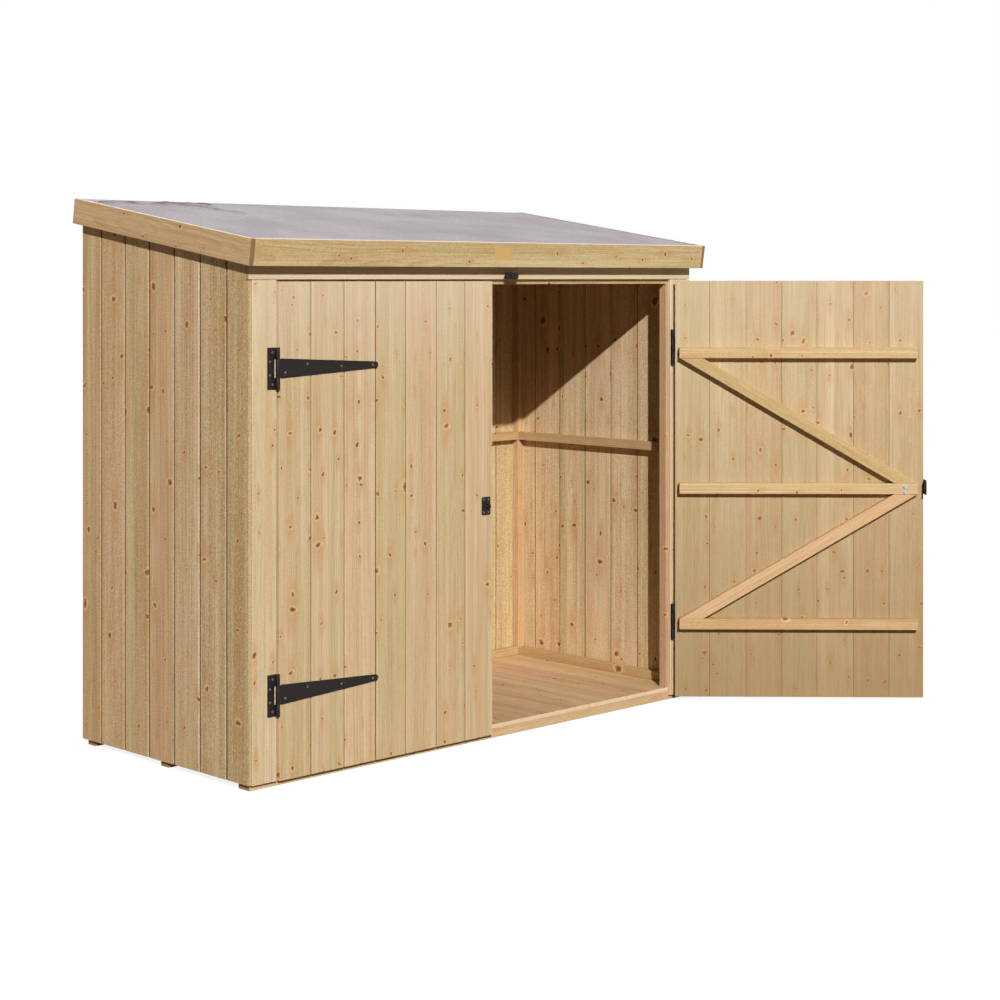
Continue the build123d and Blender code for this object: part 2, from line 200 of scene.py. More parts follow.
def add_node(
    tree: bpy.types.NodeTree, kind: str, sockets: Sequence[Any] | dict[Any, Any] = (), **settings: Any
) -> bpy.types.bpy_prop_collection:
    """Add a shader node, set it up and link it.

    Args:
        tree: The node tree that gets the node.
        kind: What its type name says after "ShaderNode".
        sockets: Its inputs in order, or by name or number. A socket is linked, a value is set.
        settings: Properties of the node.

    Returns:
        The new node's outputs.
    """
    node = tree.nodes.new(f"ShaderNode{kind}")
    for key, value in settings.items():
        setattr(node, key, value)
    for key, value in sockets.items() if isinstance(sockets, dict) else enumerate(sockets):
        if isinstance(value, bpy.types.NodeSocket):
            tree.links.new(value, node.inputs[key])
        else:
            node.inputs[key].default_value = value
    return node.outputs


def new_material(name: str) -> tuple[bpy.types.Material, Adder]:
    """Make an empty node material.

    Args:
        name: What the material is called.

    Returns:
        The material, and what adds a node to it.
    """
    material = bpy.data.materials.new(name)
    material.use_nodes = True
    material.node_tree.nodes.clear()
    return material, partial(add_node, material.node_tree)


def layered(add: Adder, colour: Any, layers: Iterable[tuple[Any, ...]]) -> Socket:
    """Lay stains over a colour, one after another.

    Args:
        add: Adds a node to the material.
        colour: The colour under them all.
        layers: The share and the colour of each stain. Where three numbers follow, the share goes
            from 0 at the first to the third at the second.

    Returns:
        The colour with all of them over it.
    """
    for share, stain, *rise in layers:
        if rise:
            span = {"Value": share, "From Min": rise[0], "From Max": rise[1], "To Max": rise[2]}
            share = add("MapRange", span)[0]
        colour = add("Mix", {0: share, 6: colour, 7: linear(stain)}, data_type="RGBA")[2]
    return colour


@dataclass(frozen=True)
class Knots:
    """Knots of one size class, in millimetres: their spacing, radii and how many places have one."""

    across: float
    along: float
    smallest: float
    largest: float
    share: float


@dataclass(frozen=True)
class Softwood:
    """Planed or sawn softwood, pressure treated: straw-coloured, matt, banded along the grain, knotty.

    The eye gets boards that each differ a little, with soft bands 20 to 40 mm wide, streaks 5 to 8 mm
    wide and small brown knots in warm halos. Fibres are drawn 2 to 3 mm wide so that they show, and
    the dust and salts that gather at the foot of a V-joint darken it. `ring` is the growth rings'
    spacing in millimetres. Painted shade darkens what is near the ground by `foot`, and a board's back
    by `inner`, from the first share at a metre to the second at the ground. Painted light pales what is
    high up, and a painted highlight pales the narrow edges.
    """

    name: str
    pale: str
    deep: str
    latewood: str
    warm: str = "#D8AA86"
    green: str = "#C0B27A"
    fibre: str = "#EFDDBC"
    halo: str = "#CC9B68"
    rim: str = "#EAD7B2"
    knot: str = "#9F6B3A"
    core: str = "#4C2C14"
    # Colours of the painted light high up and of the painted shade on a board's back.
    painted_top_light_colour: str = "#F8EBD8"
    painted_back_shade: str = "#8A6E46"
    stain: str = "#6E4C28"
    # Colour of the painted highlight on the narrow edges.
    planed: str = "#FBF1E0"
    end_grain: str = "#8A6238"
    end_share: float = 0.62
    ring: float = 6.0
    ring_strength: float = 0.26
    bands: float = 0.55
    streaks: float = 0.5
    hairlines: float = 0.3
    speckle: float = 0.2
    warmth: float = 0.55
    greenness: float = 0.5
    stained: float = 0.5
    # Shares of painted shade near the ground, painted highlight on the narrow edges, painted light high up,
    # and painted shade on the back.
    foot: float = 0.1
    painted_edge_highlight: float = 0.0
    painted_top_light: float = 0.0
    inner: Pair = (0.0, 0.0)
    big_knots: Knots = Knots(112.0, 380.0, 5.5, 10.5, 0.4)
    pin_knots: Knots = Knots(58.0, 118.0, 2.8, 6.2, 0.62)
    roughness: float = 0.64
    bump: float = 0.3
    saw_marks: float = 0.0

    def material(self) -> bpy.types.Material:
        """Build the wood's node material from the boards' own attributes.

        Returns:
            The material.
        """
        material, add = new_material(self.name)
        names = ("grain", "board", "edge")
        grain, board, edge = (add("Attribute", attribute_name=name)["Vector"] for name in names)
        tone, hue, knotty = add("SeparateXYZ", [board])
        push, knots = self._knot_masks(add, grain, knotty)
        rings = self._rings(add, grain, push)
        bands, streaks, fibres, speckles, hairs = self._figure(add, grain)
        level = add(
            "Math", [tone, 0.7, 0.15 - 1.1 * self.bands - self.streaks], operation="MULTIPLY_ADD"
        )[0]
        for part, amount in ((bands[0], 2.2 * self.bands), (streaks[0], 2.0 * self.streaks)):
            level = add("Math", [part, amount, level], operation="MULTIPLY_ADD")[0]
        lines = {"Value": bands[0], "From Min": 0.4, "From Max": 0.62, "To Max": self.ring_strength}
        ring_lines = add("Math", [rings, add("MapRange", lines)[0]], operation="MULTIPLY")[0]
        layers = [
            (level, self.deep),
            *self._leanings(add, bands[1], hue),
            (ring_lines, self.latewood),
            (fibres[0], self.latewood, 0.5, 0.75, 0.3),
            (speckles[0], self.latewood, 0.52, 0.72, self.speckle),
            (hairs[0], self.latewood, 0.56, 0.68, self.hairlines),
            (fibres[0], self.fibre, 0.5, 0.25, 0.2),
            (speckles[0], self.fibre, 0.48, 0.3, self.speckle),
            (hairs[0], self.fibre, 0.42, 0.3, self.hairlines),
            *zip(knots, (self.halo, self.rim, self.knot, self.core)),
            *self._weather(add, edge),
        ]
        parts = [(rings, 0.25), (knots[2], 1.6), (speckles[0], 3.0 * self.speckle)]
        if self.saw_marks > 0.0:
            # A band saw's marks run across the board about 5 mm apart.
            saw = {"Vector": grain, "Scale": 62.0, "Distortion": 1.6, "Detail": 2.0, "Detail Scale": 0.4}
            parts.append((add("TexWave", saw, bands_direction="Z")["Fac"], self.saw_marks))
        relief = fibres[0]
        for part, rise in parts:
            relief = add("Math", [part, rise, relief], operation="MULTIPLY_ADD")[0]
        low, high = self.roughness - 0.08, self.roughness + 0.12
        look = {
            "Base Color": layered(add, linear(self.pale), layers),
            "Roughness": add("MapRange", {"Value": fibres[0], "To Min": low, "To Max": high})[0],
            "Normal": add("Bump", {"Strength": self.bump, "Distance": MM, "Height": relief})[0],
            "Specular IOR Level": 0.25,
        }
        add("OutputMaterial", [add("BsdfPrincipled", look)[0]])
        return material

    def _leanings(self, add: Adder, bands: Socket, hue: Socket) -> list[tuple[Socket, str]]:
        """Pinkish and greenish bands, more of one or the other by the board's own hue.

        Args:
            add: Adds a node to the material.
            bands: Soft bands as a colour, whose green and blue parts are used.
            hue: The board's hue, 0 greenish to 1 pinkish.

        Returns:
            The share and the colour of each.
        """
        _, warm_band, green_band = add("SeparateXYZ", [bands])
        leanings = []
        for band, lean, share, stain in (
            (warm_band, 1.1, self.warmth, self.warm),
            (green_band, -1.1, self.greenness, self.green),
        ):
            bias = add("Math", [hue, lean, -1.55 - lean / 2], operation="MULTIPLY_ADD")[0]
            mask = add("Math", [band, 3.6, bias], operation="MULTIPLY_ADD", use_clamp=True)[0]
            leanings.append((add("Math", [mask, share], operation="MULTIPLY")[0], stain))
        return leanings

    def _weather(self, add: Adder, edge: Socket) -> list[tuple[Any, ...]]:
        """Layers of painted shade and painted light, dust in the joints, and sawn ends.

        Args:
            add: Adds a node to the material.
            edge: How deep in a joint a place is, whether it is a sawn end, and which side it is on.

        Returns:
            The layers, the lowest first.
        """
        joint, end, side = add("SeparateXYZ", [edge])
        height = add("SeparateXYZ", [add("TexCoord")["Object"]])[2]
        near, far = self.inner
        back = {"Value": height, "From Min": 1.0, "From Max": 0.05, "To Min": -near, "To Max": -far}
        dust = {"Value": joint, "From Min": 0.2, "From Max": 0.85, "To Max": self.stained}
        # Share of painted shade on a board's back, and of painted highlight on its narrow edges.
        painted_back_shade, planed = (
            add("Math", [side, share], operation="MULTIPLY", use_clamp=True)[0]
            for share in (add("MapRange", back)[0], self.painted_edge_highlight)
        )
        sawn = add("Math", [end, self.end_share], operation="MULTIPLY")[0]
        return [
            # Painted shade near the ground, then painted light high up, both by height.
            (height, self.latewood, 0.95, 0.05, self.foot),
            (height, self.painted_top_light_colour, 1.05, 1.4, self.painted_top_light),
            # Painted shade on the back of a board.
            (painted_back_shade, self.painted_back_shade),
            (add("MapRange", dust, interpolation_type="SMOOTHSTEP")[0], self.stain),
            # Painted highlight that pales the narrow edges.
            (planed, self.planed),
            (sawn, self.end_grain),
        ]

    def _figure(self, add: Adder, grain: Socket) -> list[bpy.types.bpy_prop_collection]:
        """Noise drawn out along the grain.

        Args:
            add: Adds a node to the material.
            grain: The board's own coordinates in metres.

        Returns:
            The outputs of the bands, streaks, fibres, speckles and hairlines.
        """
        fields = []
        for stretch, detail in (
            ((30.0, 30.0, 0.7), 2.5),  # bands about 33 mm wide
            ((150.0, 150.0, 2.2), 3.0),  # streaks about 7 mm wide
            ((420.0, 420.0, 12.0), 2.0),  # fibres about 2.4 mm wide, coarser than real ones
            ((330.0, 330.0, 260.0), 1.5),  # speckles 3 to 4 mm across
            ((260.0, 260.0, 1.3), 1.0),  # hairlines about 4 mm apart
        ):
            drawn = add("VectorMath", [grain, stretch], operation="MULTIPLY")[0]
            fields.append(add("TexNoise", {"Vector": drawn, "Scale": 1.0, "Detail": detail}))
        return fields

    def _rings(self, add: Adder, grain: Socket, push: Socket) -> Socket:
        """Growth rings round a wandering pith, pushed aside by the knots.

        Args:
            add: Adds a node to the material.
            grain: The board's own coordinates in metres.
            push: How far the knots push the rings, in metres.

        Returns:
            The socket with the latewood lines, 0 to 1.
        """
        slow = add("VectorMath", [grain, (2.5, 2.5, 0.95)], operation="MULTIPLY")[0]
        wander = add("TexNoise", {"Vector": slow, "Scale": 1.0, "Detail": 2.0})[1]
        moved = add("VectorMath", [wander, (0.11, 0.11, 0.0), grain], operation="MULTIPLY_ADD")[0]
        flat = add("VectorMath", [moved, (1.0, 1.0, 0.0)], operation="MULTIPLY")[0]
        radius = add("VectorMath", [flat], operation="LENGTH")[1]
        pushed = add("Math", [radius, push], operation="ADD")[0]
        # A wave of scale 1 repeats each pi / 10, here each ring's width.
        turns = math.pi / 10.0 / (self.ring * MM)
        phase = add("CombineXYZ", [add("Math", [pushed, turns], operation="MULTIPLY")[0]])[0]
        wave = add("TexWave", {"Vector": phase, "Scale": 1.0}, wave_profile="SAW")["Fac"]
        return add("Math", [wave, 1.8], operation="POWER")[0]

    def _knot_masks(self, add: Adder, grain: Socket, knotty: Socket) -> tuple[Socket, list[Socket]]:
        """Masks of the warm halo, the pale rim, the knot and its dark core.

        Args:
            add: Adds a node to the material.
            grain: The board's own coordinates in metres.
            knotty: How knotty this board is, 0 to 1.

        Returns:
            The push on the growth rings in metres, and the four masks.
        """
        bend_by = add("TexNoise", {"Vector": grain, "Scale": 75.0, "Detail": 1.0})["Color"]
        bent = add("VectorMath", [bend_by, (0.014, 0.0, 0.016), grain], operation="MULTIPLY_ADD")[0]
        across, _, along = add("SeparateXYZ", [bent])
        flat = add("CombineXYZ", [across, along])[0]
        ragged = add("TexNoise", {"Vector": grain, "Scale": 170.0, "Detail": 2.0})[0]
        (away, here, big), (_, _, pins) = (
            self._knot_class(add, knots, flat, ragged, knotty) for knots in (self.big_knots, self.pin_knots)
        )
        reach = {"Value": away, "From Min": 0.0, "From Max": 0.055, "To Min": 0.02, "To Max": 0.0}
        push = add("MapRange", reach, interpolation_type="SMOOTHERSTEP")[0]
        push = add("Math", [push, here], operation="MULTIPLY")[0]
        return push, [add("Math", pair, operation="MAXIMUM")[0] for pair in zip(big, pins)]

    def _knot_class(
        self, add: Adder, knots: Knots, flat: Socket, ragged: Socket, knotty: Socket
    ) -> tuple[Socket, Socket, list[Socket]]:
        """Masks of one size class of knots.

        Args:
            add: Adds a node to the material.
            knots: The size class.
            flat: The place across and along the board in metres.
            ragged: Noise that makes their outlines ragged.
            knotty: How knotty this board is, 0 to 1.

        Returns:
            The distance to the nearest one's middle in metres, whether it is there, and the masks.
        """
        wide, tall = knots.across * MM, knots.along * MM
        scaled = add("VectorMath", [flat, (1.0 / wide, 1.0 / tall, 0.0)], operation="MULTIPLY")[0]
        grid = {"Vector": scaled, "Scale": 1.0, "Randomness": 0.9}
        cells = add("TexVoronoi", grid, voronoi_dimensions="2D")
        offset = add("VectorMath", [scaled, cells["Position"]], operation="SUBTRACT")[0]
        draw, lean, _ = add("SeparateXYZ", [cells["Color"]])
        squash = add("MapRange", {"Value": lean, "To Min": tall * 0.7, "To Max": tall * 1.7})[0]
        ragged_by = 0.4 * knots.largest * MM
        measures = []
        for stretch, rough in ((squash, ragged_by), (tall * 0.3, 1.6 * ragged_by)):
            scale = add("CombineXYZ", [wide, stretch])[0]
            real = add("VectorMath", [offset, scale], operation="MULTIPLY")[0]
            length = add("VectorMath", [real], operation="LENGTH")[1]
            shift = add("Math", [ragged, rough, -0.35 * rough], operation="MULTIPLY_ADD")[0]
            measures.append(add("Math", [length, shift], operation="ADD")[0])
        away, along = measures
        sizes = {
            "Value": add("Math", [knotty, 0.5, draw], operation="MULTIPLY_ADD")[0],
            "From Min": 1.25 - knots.share,
            "From Max": 1.5,
            "To Min": knots.smallest * MM * 0.9,
            "To Max": knots.largest * MM * 1.25,
        }
        radius = add("MapRange", sizes)[0]
        here = add("Math", [radius, knots.smallest * MM], operation="GREATER_THAN")[0]
        masks = []
        for measure, inner, outer, fade in (
            (along, 0.7, 3.4, 0.5),
            (away, 1.2, 2.0, 0.62),
            (away, 0.8, 1.3, 0.88),
            (away, 0.1, 0.95, 0.8),
        ):
            near, far = (add("Math", [radius, times], operation="MULTIPLY")[0] for times in (inner, outer))
            ring = {"Value": measure, "From Min": near, "From Max": far, "To Min": fade, "To Max": 0.0}
            mask = add("MapRange", ring, interpolation_type="SMOOTHSTEP")[0]
            masks.append(add("Math", [mask, here], operation="MULTIPLY")[0])
        return away, here, masks


@dataclass(frozen=True)
class JapannedSteel:
    """Pressed steel dipped in black japan: a deep brown-black skin with a soft, slightly lumpy sheen.

    The lumps are 3 to 4 mm across and the clouds in the sheen about 25 mm.
    """

    name: str = "black_japanned_steel"
    colour: str = "#1B1310"
    dark: str = "#0E0A09"
    roughness: float = 0.5
    specular: float = 0.28

    def material(self) -> bpy.types.Material:
        """Build the finish's node material.

        Returns:
            The material.
        """
        material, add = new_material(self.name)
        place = add("TexCoord")["Object"]
        lumps = add("TexNoise", {"Vector": place, "Scale": 260.0, "Detail": 3.0})[0]
        clouds = add("TexNoise", {"Vector": place, "Scale": 38.0, "Detail": 2.0})[0]
        sheen = {"Value": clouds, "From Min": 0.3, "From Max": 0.7}
        sheen |= {"To Min": self.roughness, "To Max": self.roughness + 0.12}
        look = {
            "Base Color": layered(add, linear(self.dark), [(clouds, self.colour)]),
            "Roughness": add("MapRange", sheen)[0],
            "Normal": add("Bump", {"Strength": 0.25, "Distance": 0.0003, "Height": lumps})[0],
            "Specular IOR Level": self.specular,
        }
        add("OutputMaterial", [add("BsdfPrincipled", look)[0]])
        return material


@dataclass(frozen=True)
class PlainMetal:
    """Bright metal such as zinc-plated steel or rolled brass: a clean reflection with fine scratches.

    The scratches are 1 to 2 mm apart and run along x.
    """

    name: str
    colour: str
    roughness: float
    scratch: float = 900.0

    def material(self) -> bpy.types.Material:
        """Build the metal's node material.

        Returns:
            The material.
        """
        material, add = new_material(self.name)
        drawn = add("Mapping", {"Vector": add("TexCoord")["Object"], "Scale": (0.05, 1.0, 1.0)})[0]
        lines = add("TexNoise", {"Vector": drawn, "Scale": self.scratch, "Detail": 2.0})[0]
        low, high = self.roughness - 0.08, self.roughness + 0.12
        look = {
            "Base Color": linear(self.colour),
            "Metallic": 1.0,
            "Roughness": add("MapRange", {"Value": lines, "To Min": low, "To Max": high})[0],
        }
        add("OutputMaterial", [add("BsdfPrincipled", look)[0]])
        return material


@dataclass(frozen=True)
class MineralFelt:
    """Roofing felt with a mineral face: grey-mauve grit in bitumen, dull, with soft clouds, scuffs on its
    creases and painted shade along its side edges.

    The grit is 1 to 2 mm across and is drawn at about 3 mm so that it shows.
    """

    name: str = "mineral_roofing_felt"
    pale: str = "#C5C0CB"
    dark: str = "#9D98A1"
    bitumen: str = "#6A6670"
    # Colour of the scuffs on the creases and of the painted shade along the side edges.
    scuffs_and_shade: str = "#4C4544"

    def material(self) -> bpy.types.Material:
        """Build the felt's node material.

        Returns:
            The material.
        """
        material, add = new_material(self.name)
        place = add("TexCoord")["Object"]
        grit = add("TexVoronoi", {"Vector": place, "Scale": 330.0})["Color"]
        speck = add("SeparateXYZ", [grit])[0]
        cloud = {"Vector": place, "Scale": 3.2, "Detail": 5.0, "Roughness": 0.6}
        patchy = add("TexNoise", {"Vector": place, "Scale": 70.0, "Detail": 2.0})[0]
        patches = {"Value": patchy, "From Min": 0.35, "From Max": 0.6, "To Min": 0.6}
        # Where the dark colour goes: scuffs on the creases, painted shade along the side edges.
        wear_and_shade = add("Attribute", attribute_name="wear_and_shade")["Fac"]
        scuffs_and_shade = add("Math", [add("MapRange", patches)[0], wear_and_shade], operation="MULTIPLY", use_clamp=True)[0]
        layers = (
            (add("TexNoise", cloud)[0], self.dark, 0.36, 0.66, 0.6),
            (speck, self.bitumen, 0.7, 1.0, 0.5),
            (scuffs_and_shade, self.scuffs_and_shade),
        )
        look = {
            "Base Color": layered(add, linear(self.pale), layers),
            "Roughness": 0.88,
            "Normal": add("Bump", {"Strength": 0.5, "Distance": 0.0012, "Height": speck})[0],
            "Specular IOR Level": 0.3,
        }
        add("OutputMaterial", [add("BsdfPrincipled", look)[0]])
        return material


Finish = Softwood | JapannedSteel | PlainMetal | MineralFelt

# Painted light pales the front boards high up.
FRONT_CLADDING = Softwood(
    "planed_softwood_front", "#E8D6B6", "#C6AB83", "#AC8A60", stained=0.72, painted_top_light=0.34
)
# The open leaf's back gets painted shade towards the ground, and its face painted light high up.
LEAF_CLADDING = Softwood(
    "planed_softwood_open_leaf",
    "#E8D6B6",
    "#C6AB83",
    "#AC8A60",
    green="#BDB287",
    bands=0.45,
    hairlines=0.2,
    warmth=0.35,
    speckle=0.22,
    stained=0.8,
    painted_top_light=0.2,
    inner=(0.2, 0.66),
)
SIDE_CLADDING = Softwood(
    "planed_softwood_walls",
    "#EED7B2",
    "#C29C6C",
    "#8B673A",
    knot="#A25C30",
    core="#6A3818",
    stain="#382310",
    speckle=0.55,
    bands=0.9,
    stained=0.95,
    big_knots=Knots(100.0, 240.0, 6.0, 12.0, 0.42),
    pin_knots=Knots(64.0, 150.0, 2.8, 6.4, 0.55),
)
INSIDE_FRAMING = Softwood(
    "sawn_softwood_framing",
    "#D9BC90",
    "#BC9562",
    "#8F6A3C",
    ring=5.0,
    saw_marks=0.8,
    bump=0.5,
    roughness=0.7,
)
PINK_FRAMING = Softwood(
    "sawn_softwood_jambs",
    "#DCBE9C",
    "#C2987A",
    "#9C7050",
    warm="#C99680",
    warmth=0.8,
    saw_marks=0.6,
    roughness=0.7,
)
FLOOR_WOOD = Softwood(
    "floor_softwood",
    "#F0D0AC",
    "#DBB48E",
    "#A87A50",
    warm="#D8A88A",
    end_grain="#F6E2C8",
    warmth=0.9,
    ring_strength=0.4,
    stained=0.85,
)
# The fascias' narrow edges get a painted highlight.
FASCIA_WOOD = Softwood(
    "planed_softwood_fascia",
    "#ECD7AC",
    "#CDAF78",
    "#9A7A44",
    ring=5.0,
    ring_strength=0.45,
    speckle=0.34,
    end_grain="#6E4A2C",
    end_share=0.7,
    painted_edge_highlight=0.75,
    big_knots=Knots(75.0, 420.0, 4.0, 9.0, 0.35),
)
LEDGE_WOOD = Softwood("planed_softwood_ledges", "#E0C49A", "#CBA777", "#9F7644", saw_marks=0.3)
SILL_WOOD = Softwood("planed_softwood_sill", "#E4CBA6", "#D2B084", "#A87F50")
JAPAN = JapannedSteel()
# The screw heads' brown-grey, much lighter than the japan, is a painted highlight.
SCREW_BLACK = JapannedSteel("screw_heads_painted_highlight", "#6E6259", "#3A322C", 0.28, 0.6)
ZINC = PlainMetal("zinc_plated_steel", "#A3A6AC", 0.4)
BRASS = PlainMetal("rolled_brass_plate", "#D2AC70", 0.5, scratch=500.0)
NAIL_STEEL = PlainMetal("bright_nail_steel", "#8E8A84", 0.5)
FELT = MineralFelt()


class Finishes:
    """Makes each finish's material once and hands it out."""

    def __init__(self) -> None:
        """Start with no materials made."""
        self._made: dict[str, bpy.types.Material] = {}

    def get(self, finish: Finish) -> bpy.types.Material:
        """Material of a finish, made on first use.

        Args:
            finish: The finish.

        Returns:
            Its material.
        """
        if finish.name not in self._made:
            self._made[finish.name] = finish.material()
        return self._made[finish.name]


FINISHES = Finishes()


@dataclass(frozen=True)
class Worked:
    """How a timber's edges are worked, in millimetres. The edge on the `bare` side meets no other board."""

    chamfer: float = 0.0
    arris: float = 0.9
    tongue: float = 0.0
    bare: int = 0


SQUARE = Worked()
SOFTENED = Worked(arris=1.4)
WALL_BOARD = Worked(chamfer=4.0, arris=0.35, tongue=8.0)
DOOR_BOARD = Worked(chamfer=3.0, arris=0.35, tongue=8.0)


@dataclass(frozen=True)
class Pick:
    """Looks of one board: tone 0 pale to 1 deep, hue 0 greenish to 1 pinkish, knots 0 few to 1 many."""

    tone: float
    hue: float
    knots: float


@dataclass(frozen=True)
class Cut:
    """A plane that cuts a timber off, through `at` in millimetres, on the side `away` points to."""

    at: Triple
    away: Triple


ROOF_UP = (0.0, -math.sin(SIZES.slope), math.cos(SIZES.slope))
UP_SLOPE = Vector((0.0, math.cos(SIZES.slope), math.sin(SIZES.slope)))
UNDER_DECK = Cut((0.0, SIZES.front, SIZES.under_deck(SIZES.front)), ROOF_UP)


def laid(face: Vector, along: Vector, centre: Vector) -> Matrix:
    """Matrix that points a timber's own y axis to `face` and its z axis `along`, about `centre`."""
    turn = Matrix((face.cross(along), face, along)).transposed().to_4x4()
    return Matrix.Translation(centre) @ turn


def ease(
    mesh: bmesh.types.BMesh,
    edges: list[bmesh.types.BMEdge],
    width: float,
    segments: int = 1,
    clamp: bool = False,
) -> None:
    """Take sharp edges off.

    Args:
        mesh: The bmesh.
        edges: Its sharp edges.
        width: How far they are cut back, in the bmesh's own unit.
        segments: How many faces round each one.
        clamp: Whether narrow places hold the width back.
    """
    bmesh.ops.bevel(
        mesh,
        geom=edges,
        offset=width,
        offset_type="OFFSET",
        segments=segments,
        profile=0.5,
        affect="EDGES",
        material=-1,
        clamp_overlap=clamp,
    )


def to_metres(mesh: bmesh.types.BMesh, swing: Matrix | None = None) -> None:
    """Turn a bmesh's millimetres into metres and swing it to its place.

    Args:
        mesh: The bmesh.
        swing: The turn that takes it to its place, or None where it is there already.
    """
    bmesh.ops.scale(mesh, vec=(MM, MM, MM), verts=mesh.verts)
    if swing is not None:
        bmesh.ops.transform(mesh, matrix=swing, verts=mesh.verts)


def finished_piece(
    name: str,
    mesh: bmesh.types.BMesh,
    finish: Finish,
    body: Body,
    nodes: Sequence[str] = (),
) -> bpy.types.Object:
    """Turn a bmesh in metres into a piece that rides on its body.

    Args:
        name: The piece's name.
        mesh: Its bmesh, which is freed.
        finish: The finish it gets.
        body: The CAD body it rides on.
        nodes: The CAD nodes it stands for.

    Returns:
        The piece's object.
    """
    data = bpy.data.meshes.new(name)
    mesh.to_mesh(data)
    mesh.free()
    data.materials.append(FINISHES.get(finish))
    piece = bpy.data.objects.new(name, data)
    bpy.context.scene.collection.objects.link(piece)
    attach(piece, body.value)
    if nodes:
        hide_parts(*nodes)
    LOG.info("%s: %d faces on %s", name, len(data.polygons), body.value)
    return piece


def softened_copy(node: str, body: Body, width: float) -> None:
    """Copy an iron CAD node's mesh, ease its edges and let the copy stand for the node.

    Args:
        node: The CAD node.
        body: The CAD body it rides on.
        width: Width of the eased edges in millimetres.
    """
    mesh = bmesh.new()
    mesh.from_mesh(FRAME["nodes"][node].data)
    bmesh.ops.remove_doubles(mesh, verts=mesh.verts, dist=2e-6)
    bmesh.ops.dissolve_limit(
        mesh, angle_limit=math.radians(1.0), verts=mesh.verts, edges=mesh.edges, delimit={"NORMAL"}
    )
    sharp = [e for e in mesh.edges if e.calc_face_angle(0.0) > math.radians(50.0)]
    ease(mesh, sharp, width * MM, segments=2, clamp=True)
    for face in mesh.faces:
        face.smooth = True
    for edge in mesh.edges:
        edge.smooth = edge.calc_face_angle(0.0) < math.radians(35.0)
    finished_piece(f"{node}_japanned", mesh, JAPAN, body, [node])


